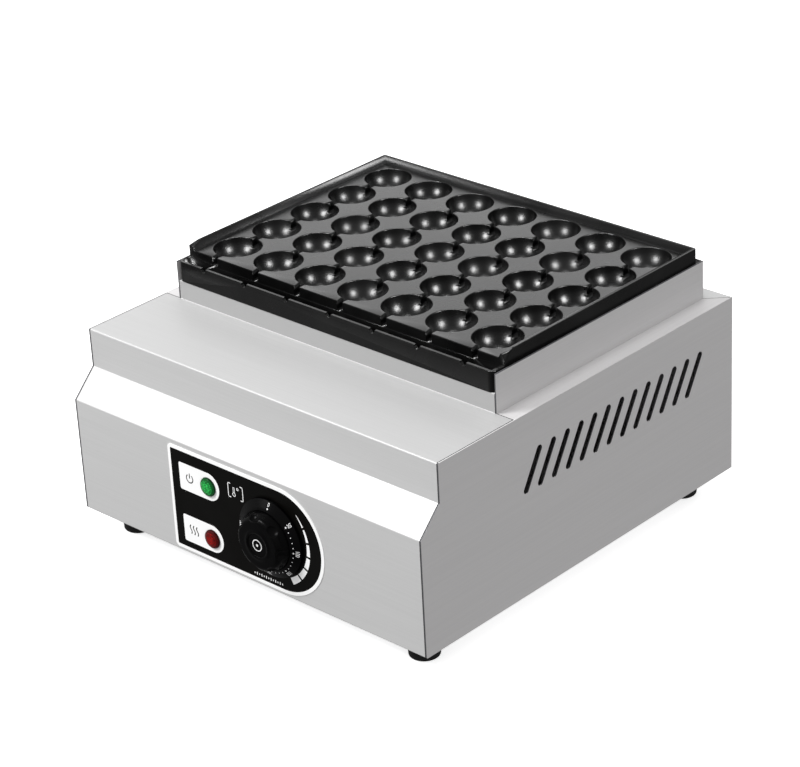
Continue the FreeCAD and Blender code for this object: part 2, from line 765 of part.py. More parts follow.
# Rails inside the collar that the pan stands on
def make_pan_rails():
    screw = "large_screw + 0.4"
    for label, side in (("pan_rail_left", -1), ("pan_rail_right", 1)):
        def across(inner, outer, side=side):
            return (inner, outer) if side > 0 else (f"-({outer})", f"-({inner})")
        body = new_body(label)
        run = ("collar_front + flange + seam", "rear_rail_y - seam")
        upright = across("collar_inner - rail_thickness", "collar_inner")
        pad(body, "Z", "seat_z - rail_drop", "seat_z", rectangle(*upright, *run))
        pad(body, "Z", "seat_z - rail_thickness", "seat_z", rectangle(*across("rail_edge", "collar_inner"), *run))
        holes = [circle(f"{side} * pan_screw_x", y, screw) for y in ("front_boss_y", "rear_boss_y")]
        pocket(body, "Z", "seat_z - rail_thickness", "seat_z", *holes)
    body = new_body("pan_rail_rear")
    span = ("-collar_inner + seam", "collar_inner - seam")
    back = "collar_back - sheet"
    pad(body, "Z", "seat_z - rail_drop", "seat_z", rectangle(*span, f"{back} - rail_thickness", back))
    pad(body, "Z", "seat_z - rail_thickness", "seat_z", rectangle(*span, "rear_rail_y", back))


def make_pan_screws():
    spots = [(f"{side} * pan_screw_x", y) for side in (-1, 1) for y in ("front_boss_y", "rear_boss_y")]
    under = "seat_z - rail_thickness"
    body = new_body("pan_screws")
    pad(body, "Z", f"{under} - 3.5", under, *[hexagon(x, y, "8") for x, y in spots])
    pad(body, "Z", under, "seat_z + 12", *[circle(x, y, "large_screw") for x, y in spots])


# A round bar or tube along straight runs joined by tangent arcs
def bent_path(points, radius):
    spots = [Vector(*[value(text) for text in point]) for point in points]
    edges, start = [], spots[0]
    for before, corner, after in zip(spots, spots[1:], spots[2:]):
        into, out = (corner - before).normalize(), (after - corner).normalize()
        turn_angle = into.getAngle(out)
        reach = radius * math.tan(turn_angle / 2)
        begin, end = corner - into * reach, corner + out * reach
        middle = corner + (out - into).normalize() * (radius / math.cos(turn_angle / 2) - radius)
        if (begin - start).Length > 1e-4:
            edges.append(Part.LineSegment(start, begin).toShape())
        edges.append(Part.Arc(begin, middle, end).toShape())
        start = end
    edges.append(Part.LineSegment(start, spots[-1]).toShape())
    return Part.Wire(edges)


def bent_rod(points, radius, diameter):
    path = bent_path(points, radius)
    first = path.Edges[0]
    start, heading = first.valueAt(first.FirstParameter), first.tangentAt(first.FirstParameter)
    profile = Part.Wire([Part.Circle(start, heading, diameter / 2).toShape()])
    solid = path.makePipeShell([profile], True, False)
    wanted = math.pi * diameter ** 2 / 4 * path.Length
    if abs(solid.Volume - wanted) > 0.01 * wanted:
        raise RuntimeError("a bent rod came out with the wrong volume")
    return solid


def new_shape(label, shape):
    item = doc.addObject("Part::Feature", label)
    item.Label = label
    item.Shape = shape
    place(item)
    nodes.append(item)


# Heating elements: each goes along one valley between bowl rows and back along the next
def make_heaters():
    radius = value("bowl_pitch_y / 2")
    for label, row in (("heater_front", 0.5), ("heater_rear", 2.5)):
        near, far = f"row_y + {row} * bowl_pitch_y", f"row_y + {row + 1} * bowl_pitch_y"
        turn_x = "heater_turn + bowl_pitch_y / 2"
        halfway = f"row_y + {row + 0.5} * bowl_pitch_y"
        legs = [
            bent_path([("-heater_reach", y, "heater_leg_z"), ("-heater_reach", y, "heater_z"),
                       ("heater_turn", y, "heater_z")], value("heater_bend"))
            for y in (near, far)
        ]
        centre = Vector(value("heater_turn"), value(halfway), value("heater_z"))
        tip = Vector(value(turn_x), value(halfway), value("heater_z"))
        ends = [centre + Vector(0, shift, 0) for shift in (-radius, radius)]
        bend = Part.Arc(ends[0], tip, ends[1]).toShape()
        path = Part.Wire(legs[0].Edges + [bend] + legs[1].Edges[::-1])
        start = Vector(-value("heater_reach"), value(near), value("heater_leg_z"))
        profile = Part.Wire([Part.Circle(start, Vector(0, 0, 1), value("heater_diameter / 2")).toShape()])
        new_shape(label, path.makePipeShell([profile], True, False))


def heater_leg_spots():
    return [("-heater_reach", f"row_y + {row} * bowl_pitch_y") for row in (0.5, 1.5, 2.5, 3.5)]


# Ceramic bushes and terminal studs at the ends of the elements
def make_heater_ends():
    spots = heater_leg_spots()
    low = "heater_leg_z - insulator_length"
    body = new_body("heater_insulators")
    pad(body, "Z", low, "heater_leg_z", *[circle(x, y, "insulator_diameter") for x, y in spots])
    pocket(body, "Z", low, "heater_leg_z", *[circle(x, y, "pin_diameter + screw_gap") for x, y in spots])
    pins = new_body("heater_studs")
    pad(pins, "Z", "heater_leg_z - pin_length", "heater_leg_z", *[circle(x, y, "pin_diameter") for x, y in spots])
    pad(pins, "Z", f"{low} - 5", f"{low} - 1", *[hexagon(x, y, "6") for x, y in spots])


# Clamp bars that carry the heating elements under the bowls
def make_heater_clamps():
    spots = []
    for label, side in (("heater_clamp_left", -1), ("heater_clamp_right", 1)):
        body = new_body(label)
        x = f"{side} * clamp_x"
        bar = rectangle(
            f"{x} - clamp_width / 2", f"{x} + clamp_width / 2", "row_y - clamp_end", "last_row_y + clamp_end"
        )
        pad(body, "Z", "clamp_z - clamp_thickness", "clamp_z", bar)
        own = [(x, f"row_y + {row} * bowl_pitch_y") for row in (0, 2, 4)]
        holes = [circle(*spot, "large_screw + 0.4") for spot in own]
        pocket(body, "Z", "clamp_z - clamp_thickness", "clamp_z", *holes)
        spots += own
    bolts = new_body("clamp_bolts")
    under = "clamp_z - clamp_thickness"
    pad(bolts, "Z", f"{under} - 3.5", under, *[hexagon(x, y, "8") for x, y in spots])
    pad(bolts, "Z", under, "clamp_z + 12", *[circle(x, y, "large_screw") for x, y in spots])


# Heat tray hung under the ledges, with a fibre pad in it
def make_heat_tray():
    body = new_body("heat_tray")
    lip = rectangle(
        "-inner_half + 3", "inner_half - 3", "collar_front - tray_lip", "housing_depth - 2 * sheet - 1"
    )
    pad(body, "Z", "lip_z - sheet", "lip_z", lip)
    pad(body, "Z", "tray_z", "lip_z - sheet", rectangle("-tray_half", "tray_half", "tray_front", "tray_back"))
    inside = rectangle("-tray_half + sheet", "tray_half - sheet", "tray_front + sheet", "tray_back - sheet")
    pocket(body, "Z", "tray_z + sheet", "lip_z", inside)
    holes = [circle(x, y, "heater_hole") for x, y in heater_leg_spots()] + [circle("bulb_x", "tube_hole_y", "6")]
    pocket(body, "Z", "tray_z", "tray_z + sheet", *holes)
    fibre = new_body("fibre_pad")
    inset = "(sheet + seam)"
    shape = rectangle(
        f"-tray_half + {inset}", f"tray_half - {inset}", f"tray_front + {inset}", f"tray_back - {inset}"
    )
    pad(fibre, "Z", "tray_z + sheet", "tray_z + sheet + fibre_thickness", shape)
    pocket(fibre, "Z", "tray_z + sheet", "tray_z + sheet + fibre_thickness", *holes)


# Temperature sensor: bulb between two columns of bowls, its clip, and the capillary to the thermostat
def make_sensor():
    body = new_body("sensor_bulb")
    pad(body, "Y", "bulb_y", "bulb_y + bulb_length", circle("bulb_x", "bulb_z", "bulb_diameter"))
    clip = new_body("bulb_clip")
    end = "clip_boss_y + clip_width / 2"
    shape = rectangle("bulb_x - clip_width / 2", "bulb_x + clip_width / 2", "bulb_y + bulb_length - 20", end)
    pad(clip, "Z", "clip_z - clip_thickness", "clip_z", shape)
    hole = circle("bulb_x", "clip_boss_y", "medium_screw + 0.4")
    pocket(clip, "Z", "clip_z - clip_thickness", "clip_z", hole)
    screw = new_body("clip_screw")
    under = "clip_z - clip_thickness"
    pad(screw, "Z", f"{under} - 2.4", under, circle("bulb_x", "clip_boss_y", "7"))
    pad(screw, "Z", under, "clip_z + 6.5", circle("bulb_x", "clip_boss_y", "medium_screw"))
    route = [
        ("bulb_x", "bulb_y", "bulb_z"), ("bulb_x", "tube_hole_y", "bulb_z"),
        ("bulb_x", "tube_hole_y", "tray_z - 25"), ("dial_x", "thermostat_back - 8", "tray_z - 45"),
        ("dial_x", "thermostat_back - 8", "dial_z + thermostat_width / 2"),
    ]
    new_shape("capillary", bent_rod(route, 9, value("capillary_diameter")))


# Control label, with holes for the lamps and the thermostat
def make_label():
    body = new_body("control_label")
    end_x, corner = "label_right - label_radius", "label_corner"
    shape = outline(
        ("label_left + label_corner", "label_low"), (end_x, "label_low", "label_radius", "left"),
        ("label_right", "label_mid", "label_radius", "left"), (end_x, "label_high"),
        ("label_left + label_corner", "label_high", corner, "left"), ("label_left", "label_high - label_corner"),
        ("label_left", "label_low + label_corner", corner, "left"),
    )
    pad(body, "Y", "-label_thickness", "0", shape)
    holes = [
        circle("lamp_x", "green_z", "lamp_barrel + 4 * screw_gap"),
        circle("lamp_x", "red_z", "lamp_barrel + 4 * screw_gap"),
        circle("dial_x", "dial_z", "bushing_diameter + 1"),
        circle("dial_x - thermostat_screw", "dial_z", "medium_screw + 0.4"),
        circle("dial_x + thermostat_screw", "dial_z", "medium_screw + 0.4"),
    ]
    pocket(body, "Y", "-label_thickness", "0", *holes)


# Indicator lamps: round body through the panel, lens in front, nut behind
def make_lamps():
    for colour in ("green", "red"):
        height = f"{colour}_z"
        body = new_body(f"lamp_body_{colour}", "lamp_x", "0", height, front=True)
        front = "label_thickness + 1"
        turn(
            body, ("0", "-lamp_depth"), ("lamp_barrel / 2", "-lamp_depth"), ("lamp_barrel / 2", "label_thickness"),
            ("lamp_flange / 2", "label_thickness"), ("lamp_flange / 2", front), ("0", front),
        )
        pocket(body, "Z", "-lamp_depth + 8", front, circle("0", "0", "lamp_barrel - 3.6"))
        tags = [rectangle(f"{side} * 3 - 0.4", f"{side} * 3 + 0.4", "-2.4", "2.4") for side in (-1, 1)]
        pad(body, "Z", "-lamp_depth - 7", "-lamp_depth", *tags)
        lens = new_body(f"lamp_lens_{colour}", "lamp_x", "0", height, front=True)
        stem, rim = "lamp_barrel / 2 - 1.9", "lamp_flange / 2 - 0.4"
        top = f"{front} + lens_rise"
        turn(
            lens, ("0", f"{front} - 5"), (stem, f"{front} - 5"), (stem, front), (rim, front),
            (rim, f"{front} + 0.8", "9", "left"), ("3", top), ("0", top),
        )
        nut = new_body(f"lamp_nut_{colour}", "lamp_x", "0", height, front=True)
        pad(nut, "Z", "-sheet - 3.5", "-sheet", hexagon("0", "0", "15"))
        pocket(nut, "Z", "-sheet - 3.5", "-sheet", circle("0", "0", "lamp_barrel + screw_gap"))


# Thermostat: bracket with its bushing, switch body, screws, and the turning shaft
def make_thermostat():
    bracket = new_body("thermostat_bracket", "dial_x", "0", "dial_z", front=True)
    pad(bracket, "Z", "-thermostat_y", "-sheet", rectangle("-23", "23", "-11", "11"))
    pad(bracket, "Z", "-sheet", "label_thickness", circle("0", "0", "bushing_diameter"))
    pocket(bracket, "Z", "-thermostat_y", "label_thickness", circle("0", "0", "shaft_diameter + 2 * running_gap"))
    screws = [circle(f"{side} * thermostat_screw", "0", "medium_screw + screw_gap") for side in (-1, 1)]
    pocket(bracket, "Z", "-thermostat_y", "-sheet", *screws)

    body = new_body("thermostat_body", "dial_x", "0", "dial_z", front=True)
    half = "(thermostat_width / 2)"
    pad(body, "Z", "-thermostat_back", "-thermostat_y", rectangle(f"-{half}", half, f"-{half}", half))
    pocket(body, "Z", "-thermostat_y - 8", "-thermostat_y", circle("0", "0", "shaft_diameter + 2 * running_gap"))
    pocket(body, "Z", "-thermostat_y - 6", "-thermostat_y", *screws)
    tags = [rectangle(f"{side} * 9 - 3.1", f"{side} * 9 + 3.1", "-0.4", "0.4") for side in (-1, 1)]
    pad(body, "Z", "-thermostat_back - 8", "-thermostat_back", *tags)

    group = new_body("thermostat_screws", "dial_x", "0", "dial_z", front=True)
    spots = [f"{side} * thermostat_screw" for side in (-1, 1)]
    pad(group, "Z", "label_thickness", "label_thickness + 2.2", *[circle(x, "0", "7") for x in spots])
    shanks = [circle(x, "0", "medium_screw") for x in spots]
    pad(group, "Z", "-thermostat_y - 5", "label_thickness", *shanks)

    shaft = new_body("thermostat_shaft", "dial_x", "0", "dial_z", front=True)
    pad(shaft, "Z", "-thermostat_y - 7.7", "knob_reach - 4.6", circle("0", "0", "shaft_diameter"))
    flat = rectangle("-4", "4", "shaft_diameter / 2 - shaft_flat", "4")
    pocket(shaft, "Z", "label_thickness + 2", "knob_reach - 4.6", flat)


# Knob: numbered skirt and scalloped grip in one moulding, a cap in its face and a leaf spring on the shaft
def make_knob():
    knob = new_body("knob", "dial_x", "0", "dial_z", front=True)
    back = "label_thickness + knob_gap"
    cap_edge = "knob_cap_diameter / 2 + seam"
    round_z = "knob_reach - 0.8 - grip_round"
    turn(
        knob, ("0", "knob_reach - knob_cap_recess"), ("0", back), ("7", back), ("7", f"{back} + 3"),
        ("20", f"{back} + 3"), ("20", back), ("skirt_diameter / 2", back),
        ("skirt_diameter / 2", f"{back} + skirt_edge"), ("grip_diameter / 2 + 0.6", "grip_base_z"),
        ("grip_diameter / 2 + 0.6", "grip_base_z - 0.5"), ("grip_diameter / 2", "grip_base_z - 0.5"),
        ("grip_diameter / 2", "grip_base_z + 0.5"),
        ("grip_top_diameter / 2", round_z, "grip_round", "left"),
        ("grip_top_diameter / 2 - grip_round", "knob_reach - 0.8"), (f"{cap_edge} + 2.8", "knob_reach - 0.6"),
        (f"{cap_edge} + 2", "knob_reach"), (cap_edge, "knob_reach"), (cap_edge, "knob_reach - knob_cap_recess"),
    )
    scallop_x, scallop_y = "-scallop_reach * sin(scallop_turn * 1 deg)", "scallop_reach * cos(scallop_turn * 1 deg)"
    scallop = ball(knob, "Subtractive", scallop_x, scallop_y, "knob_reach - 0.6", "scallop_diameter")
    ring(knob, scallop, "scallops")
    bore = circle("0", "0", "shaft_diameter + 2 * running_gap")
    pocket(knob, "Z", back, "knob_reach - 4.5", bore)
    cap = new_body("knob_cap", "dial_x", "0", "dial_z", front=True)
    cap_back = "knob_reach - knob_cap_recess"
    pad(cap, "Z", cap_back, f"{cap_back} + 0.7", circle("0", "0", "knob_cap_diameter"))
    leaf = new_body("knob_spring", "dial_x", "0", "dial_z", front=True)
    low = "shaft_diameter / 2 - shaft_flat"
    shape = rectangle("-1.5", "1.5", f"{low} + running_gap", f"{low} + 0.75")
    pad(leaf, "Z", f"{back} + 2", "knob_reach - 5", shape)


# Cable gland in the rear panel: body, dome nut outside, locknut inside
def make_gland():
    wall = "housing_depth"
    body = new_body("gland_body")
    pad(body, "Y", wall, f"{wall} + gland_hex_thickness", hexagon("gland_x", "gland_z", "gland_hex"))
    pad(body, "Y", f"{wall} - sheet - gland_stub", wall, circle("gland_x", "gland_z", "gland_thread"))
    bore = circle("gland_x", "gland_z", "gland_bore")
    pocket(body, "Y", f"{wall} - sheet - gland_stub", f"{wall} + gland_hex_thickness", bore)
    nut = new_body("gland_nut")
    low, high = f"{wall} + gland_hex_thickness", f"{wall} + gland_reach"
    pad(nut, "Y", low, f"{high} - 4", hexagon("gland_x", "gland_z", "gland_hex - 2"))
    pad(nut, "Y", f"{high} - 4", high, circle("gland_x", "gland_z", "gland_hex - 6"))
    pocket(nut, "Y", low, high, bore)
    locknut = new_body("gland_locknut")
    inner = f"{wall} - sheet"
    pad(locknut, "Y", f"{inner} - 4", inner, hexagon("gland_x", "gland_z", "gland_hex"))
    pocket(locknut, "Y", f"{inner} - 4", inner, circle("gland_x", "gland_z", "gland_thread + screw_gap"))


def block_fixings():
    return [f"block_x + {side} * (block_length / 2 - 4)" for side in (-1, 1)]


def pole_spots():
    return [f"block_x + {pole} * block_pitch" for pole in (-1, 0, 1)]


# Ceramic terminal block on the base, its screws, and the earth stud beside it
def make_terminals():
    block = new_body("terminal_block")
    top = "floor_z + block_height"
    body_half, depth = "(block_length / 2)", "(block_depth / 2)"
    shape = rectangle(f"block_x - {body_half}", f"block_x + {body_half}", f"block_y - {depth}", f"block_y + {depth}")
    pad(block, "Z", "floor_z", top, shape)
    pocket(block, "Z", f"{top} - 9", top, *[circle(x, "block_y", "6") for x in pole_spots()])
    ways = [circle(x, "floor_z + 6", "wire_diameter + 0.6") for x in pole_spots()]
    pocket(block, "Y", f"block_y - {depth}", f"block_y + {depth}", *ways)
    pocket(block, "Z", "floor_z", top, *[circle(x, "block_y", "small_screw + screw_gap") for x in block_fixings()])
    screws = new_body("terminal_screws")
    pad(screws, "Z", f"{top} - 9", f"{top} - 4", *[circle(x, "block_y", "5.6") for x in pole_spots()])
    fixings = new_body("block_screws")
    pad(fixings, "Z", top, f"{top} + 2", *[circle(x, "block_y", "5.5") for x in block_fixings()])
    pad(fixings, "Z", "-1", top, *[circle(x, "block_y", "small_screw") for x in block_fixings()])
    earth = new_body("earth_stud")
    pad(earth, "Z", "sheet - 3", "sheet", hexagon("earth_x", "block_y", "8"))
    pad(earth, "Z", "sheet", "floor_z + 14", circle("earth_x", "block_y", "large_screw"))
    nut = new_body("earth_nut")
    pad(nut, "Z", "floor_z", "floor_z + 4", hexagon("earth_x", "block_y", "8"))
    pocket(nut, "Z", "floor_z", "floor_z + 4", circle("earth_x", "block_y", "large_screw + screw_gap"))


# Wiring between terminal block, thermostat and heating elements
def make_wiring():
    live, earth, neutral = pole_spots()
    front_y, rear_y = (f"row_y + {row} * bowl_pitch_y" for row in (0.5, 3.5))
    tag_y = "thermostat_back + 8.3"
    pin_z = "heater_leg_z - pin_length - 0.3"
    entry = "block_y - block_depth / 2 + 4"
    level = "floor_z + 6"
    routes = {
        "wire_live": [
            (live, entry, level), (live, "block_y - 60", level), ("dial_x - 9", "130", "20"),
            ("dial_x - 9", "90", "dial_z"), ("dial_x - 9", tag_y, "dial_z"),
        ],
        "wire_switched": [
            ("dial_x + 9", tag_y, "dial_z"), ("dial_x + 9", "100", "dial_z"), ("-60", "150", "60"),
            ("-heater_reach", front_y, "60"), ("-heater_reach", front_y, pin_z),
        ],
        "wire_neutral": [
            (neutral, entry, level), (neutral, "block_y - 50", level), ("-100", "210", "40"),
            ("-heater_reach", rear_y, "50"), ("-heater_reach", rear_y, pin_z),
        ],
        "wire_link": [
            ("-heater_reach", "row_y + 1.5 * bowl_pitch_y", pin_z),
            ("-heater_reach", "row_y + 1.5 * bowl_pitch_y", "80"),
            ("-heater_reach", "row_y + 2.5 * bowl_pitch_y", "80"),
            ("-heater_reach", "row_y + 2.5 * bowl_pitch_y", pin_z),
        ],
    }
    for label, route in routes.items():
        new_shape(label, bent_rod(route, 13, value("wire_diameter")))


make_pan()
make_front_panel()
make_side_panel("side_panel_left", -1)
make_side_panel("side_panel_right", 1)
make_rear_panel()
make_base_plate()
make_feet()
make_base_screws()
make_rear_screws()
make_pan_rails()
make_pan_screws()
make_heaters()
make_heater_ends()
make_heater_clamps()
make_heat_tray()
make_sensor()
make_label()
make_lamps()
make_thermostat()
make_knob()
make_gland()
make_terminals()
make_wiring()

# Every object has to be sound before anything is written
doc.recompute()
for item in doc.Objects:
    if "Invalid" in item.State or "Error" in item.State:
        raise RuntimeError(f"{item.Label} failed")
os.makedirs("parts", exist_ok=True)
for item in nodes:
    if item.Shape.isNull() or not item.Shape.isValid() or not item.Shape.Solids:
        raise RuntimeError(f"{item.Label} has no sound shape")
for item in nodes:
    item.Shape.exportStep(f"parts/{item.Label}.step")
    box = item.Shape.BoundBox
    spans = ", ".join(f"{low:.1f} to {high:.1f}" for low, high in
                      ((box.XMin, box.XMax), (box.YMin, box.YMax), (box.ZMin, box.ZMax)))
    print(f"{item.Label}: {len(item.Shape.Solids)} solids, {item.Shape.Volume / 1000:.2f} cm3, {spans}")
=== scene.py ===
import math

import bmesh
import bpy
from mathutils import Matrix, Vector


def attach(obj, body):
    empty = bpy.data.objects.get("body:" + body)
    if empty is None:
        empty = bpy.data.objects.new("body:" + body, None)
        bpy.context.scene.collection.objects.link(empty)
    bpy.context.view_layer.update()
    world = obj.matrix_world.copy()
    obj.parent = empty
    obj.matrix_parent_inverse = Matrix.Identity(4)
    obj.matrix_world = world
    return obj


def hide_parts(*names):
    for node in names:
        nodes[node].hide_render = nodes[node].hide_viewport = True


# Looks of an electric takoyaki maker: satin steel housing, non-stick pan, printed label, numbered dial.
# Lengths in the sizes below are millimetres; meshes are metres in the model's own frame.

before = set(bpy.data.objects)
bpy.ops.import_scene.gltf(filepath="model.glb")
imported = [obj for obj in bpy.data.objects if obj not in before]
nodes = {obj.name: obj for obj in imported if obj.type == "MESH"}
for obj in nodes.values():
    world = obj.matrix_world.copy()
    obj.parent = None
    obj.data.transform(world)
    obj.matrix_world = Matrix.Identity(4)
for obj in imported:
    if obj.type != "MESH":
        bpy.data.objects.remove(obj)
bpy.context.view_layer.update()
scene = bpy.context.scene

LABEL_Y = -188.0
LABEL_LEFT, LABEL_RIGHT, LABEL_LOW, LABEL_HIGH = -80.0, 87.0, 24.3, 116.5
LABEL_CORNER = 4.0
LABEL_BORDER = 3.0
DIAL_X, DIAL_Z, PANEL_Y = 32.0, 70.3, -187.5
SKIRT_RADIUS, SKIRT_RISE, GRIP_FOOT_RADIUS, GRIP_FOOT_RISE = 33.2, 3.0, 25.1, 7.0
CAP_RISE = 16.9
FIRST_NUMBER, NUMBER_STEP, NUMBERS = 5, 45, 7
NUMBER_SIZE, NUMBER_RADIUS, NUMBER_SQUEEZE, NUMBER_LIFT = 4.3, 30.6, 0.86, 0.07
DOT_RING, DOT_TILT = 27.7, 26
LAMP_X = -35.8
LAMP_HEIGHTS = {"green": 91.5, "red": 45.0}
MARK_X, MARK_WIDTH = -57.0, 0.95
SHARP_ANGLE = 32
HOUSING_LABEL = ("housing", "label_print")


# Shader helpers
def new_group(name, inputs, outputs):
    tree = bpy.data.node_groups.new(name, "ShaderNodeTree")
    for title, default in inputs.items():
        kind = "NodeSocketVector" if isinstance(default, tuple) else "NodeSocketFloat"
        tree.interface.new_socket(title, in_out="INPUT", socket_type=kind).default_value = default
    for title in outputs:
        tree.interface.new_socket(title, in_out="OUTPUT", socket_type="NodeSocketFloat")
    return tree, tree.nodes.new("NodeGroupInput"), tree.nodes.new("NodeGroupOutput")


def ramp_between(tree, source, low, high, out_low=0.0, out_high=1.0):
    node = tree.nodes.new("ShaderNodeMapRange")
    tree.links.new(source, node.inputs["Value"])
    for title, value in (("From Min", low), ("From Max", high), ("To Min", out_low), ("To Max", out_high)):
        if isinstance(value, bpy.types.NodeSocket):
            tree.links.new(value, node.inputs[title])
        else:
            node.inputs[title].default_value = value
    return node.outputs["Result"]


def maths(tree, operation, *values):
    node = tree.nodes.new("ShaderNodeMath")
    node.operation = operation
    for number, value in enumerate(values):
        if isinstance(value, (int, float)):
            node.inputs[number].default_value = value
        else:
            tree.links.new(value, node.inputs[number])
    return node.outputs["Value"]


# Rolled and brushed sheet: long streaks along the grain, over slow clouds
def make_drawn_grain():
    tree, given, result = new_group(
        "drawn_grain", {"Stretch": (1.0, 1.0, 1.0), "Low": 0.3, "High": 0.5},
        ["Roughness", "Streak", "Height"])
    place = tree.nodes.new("ShaderNodeTexCoord")
    scale = tree.nodes.new("ShaderNodeVectorMath")
    scale.operation = "MULTIPLY"
    tree.links.new(place.outputs["Object"], scale.inputs[0])
    tree.links.new(given.outputs["Stretch"], scale.inputs[1])
    streak = tree.nodes.new("ShaderNodeTexNoise")
    streak.inputs["Scale"].default_value = 1.0
    streak.inputs["Detail"].default_value = 3.0
    tree.links.new(scale.outputs["Vector"], streak.inputs["Vector"])
    cloud = tree.nodes.new("ShaderNodeTexNoise")
    cloud.inputs["Scale"].default_value = 9.0
    cloud.inputs["Detail"].default_value = 2.0
    tree.links.new(place.outputs["Object"], cloud.inputs["Vector"])
    soft = maths(tree, "MULTIPLY", cloud.outputs["Fac"], 0.35)
    blend = maths(tree, "MULTIPLY_ADD", streak.outputs["Fac"], 0.65, soft)
    rough = ramp_between(tree, blend, 0.3, 0.7, given.outputs["Low"], given.outputs["High"])
    tree.links.new(rough, result.inputs["Roughness"])
    tree.links.new(streak.outputs["Fac"], result.inputs["Streak"])
    tree.links.new(streak.outputs["Fac"], result.inputs["Height"])
    return tree


# Moulded, cast and printed surfaces: a fine grain, with slow patches of roughness
def make_fine_skin():
    tree, given, result = new_group(
        "fine_skin", {"Grain Size": 900.0, "Low": 0.3, "High": 0.5}, ["Roughness", "Mottle", "Height"])
    place = tree.nodes.new("ShaderNodeTexCoord")
    grain = tree.nodes.new("ShaderNodeTexNoise")
    grain.inputs["Detail"].default_value = 2.0
    tree.links.new(place.outputs["Object"], grain.inputs["Vector"])
    tree.links.new(given.outputs["Grain Size"], grain.inputs["Scale"])
    patch = tree.nodes.new("ShaderNodeTexNoise")
    patch.inputs["Scale"].default_value = 22.0
    patch.inputs["Detail"].default_value = 3.0
    tree.links.new(place.outputs["Object"], patch.inputs["Vector"])
    rough = ramp_between(tree, patch.outputs["Fac"], 0.3, 0.7, given.outputs["Low"], given.outputs["High"])
    tree.links.new(rough, result.inputs["Roughness"])
    tree.links.new(patch.outputs["Fac"], result.inputs["Mottle"])
    tree.links.new(grain.outputs["Fac"], result.inputs["Height"])
    return tree


# Painted shade on the sheets: edges that face along one axis, such as seam edges and slot walls, and the top
# edges of the collar are darkened.
# The wall mask is painted shade for the front and rear panels: their collar walls above the deck are given a
# darker steel colour.
def make_painted_edge_shade():
    tree, given, result = new_group(
        "painted_edge_shade", {"Facing": (1.0, 0.0, 0.0), "Top": 0.208, "Deck": 0.176}, ["Cut", "Wall Shade"])
    place = tree.nodes.new("ShaderNodeTexCoord")
    heading = tree.nodes.new("ShaderNodeVectorMath")
    heading.operation = "DOT_PRODUCT"
    tree.links.new(place.outputs["Normal"], heading.inputs[0])
    tree.links.new(given.outputs["Facing"], heading.inputs[1])
    spot = tree.nodes.new("ShaderNodeSeparateXYZ")
    tree.links.new(place.outputs["Object"], spot.inputs["Vector"])
    end = maths(tree, "GREATER_THAN", maths(tree, "ABSOLUTE", heading.outputs["Value"]), 0.3)
    top = maths(tree, "GREATER_THAN", spot.outputs["Z"], given.outputs["Top"])
    wall = maths(tree, "GREATER_THAN", spot.outputs["Z"], given.outputs["Deck"])
    tree.links.new(maths(tree, "MAXIMUM", end, top), result.inputs["Cut"])
    tree.links.new(wall, result.inputs["Wall Shade"])
    return tree


DRAWN_GRAIN = make_drawn_grain()
FINE_SKIN = make_fine_skin()
PAINTED_EDGE_SHADE = make_painted_edge_shade()
# Painted shade colours: one for edges, seams and slot walls, one for the collar walls above the deck
PAINTED_EDGE_SHADE_COLOUR = (0.085, 0.085, 0.09)
PAINTED_SHADE_WALL_COLOUR = (0.385, 0.385, 0.385)


def tinted(tree, colour, other, factor):
    tint = tree.nodes.new("ShaderNodeMix")
    tint.data_type = "RGBA"
    tree.links.new(colour, tint.inputs["A"])
    tint.inputs["B"].default_value = (*other, 1.0)
    tree.links.new(factor, tint.inputs["Factor"])
    return tint.outputs["Result"]


def finish_material(
        name, group, settings, dark, light, mask, bump, depth, metallic=0.0, edge_shade_facing=None, painted_shade_wall=False,
        **sockets):
    material = bpy.data.materials.new(name)
    material.use_nodes = True
    tree = material.node_tree
    shader = tree.nodes["Principled BSDF"]
    skin = tree.nodes.new("ShaderNodeGroup")
    skin.node_tree = group
    for title, value in settings.items():
        skin.inputs[title].default_value = value
    tint = tree.nodes.new("ShaderNodeMix")
    tint.data_type = "RGBA"
    tint.inputs["A"].default_value = (*dark, 1.0)
    tint.inputs["B"].default_value = (*light, 1.0)
    tree.links.new(ramp_between(tree, skin.outputs[mask], 0.35, 0.65), tint.inputs["Factor"])
    colour = tint.outputs["Result"]
    # Painted shade: darker edges, seams and slot walls, and on the front and rear panels a darker collar wall
    # above the deck
    if edge_shade_facing:
        shade_node = tree.nodes.new("ShaderNodeGroup")
        shade_node.node_tree = PAINTED_EDGE_SHADE
        shade_node.inputs["Facing"].default_value = edge_shade_facing
        if painted_shade_wall:
            colour = tinted(tree, colour, PAINTED_SHADE_WALL_COLOUR, shade_node.outputs["Wall Shade"])
        colour = tinted(tree, colour, PAINTED_EDGE_SHADE_COLOUR, shade_node.outputs["Cut"])
    tree.links.new(colour, shader.inputs["Base Color"])
    tree.links.new(skin.outputs["Roughness"], shader.inputs["Roughness"])
    height = tree.nodes.new("ShaderNodeBump")
    height.inputs["Strength"].default_value = bump
    height.inputs["Distance"].default_value = depth
    tree.links.new(skin.outputs["Height"], height.inputs["Height"])
    tree.links.new(height.outputs["Normal"], shader.inputs["Normal"])
    shader.inputs["Metallic"].default_value = metallic
    for title, value in sockets.items():
        shader.inputs[title.replace("_", " ")].default_value = value
    return material


def steel(
        name, stretch, dark, light, low=0.34, high=0.46, metallic=0.75, bump=0.12, edge_shade_facing=None,
        painted_shade_wall=False):
    return finish_material(
        name, DRAWN_GRAIN, {"Stretch": stretch, "Low": low, "High": high}, dark, light, "Streak",
        bump, 0.00002, metallic, edge_shade_facing, painted_shade_wall)


def moulded(name, dark, light, low, high, grain=900.0, bump=0.1, depth=0.00004, **sockets):
    return finish_material(
        name, FINE_SKIN, {"Grain Size": grain, "Low": low, "High": high}, dark, light, "Mottle", bump, depth,
        **sockets)


def even_grain(size):
    return (size, size, size)


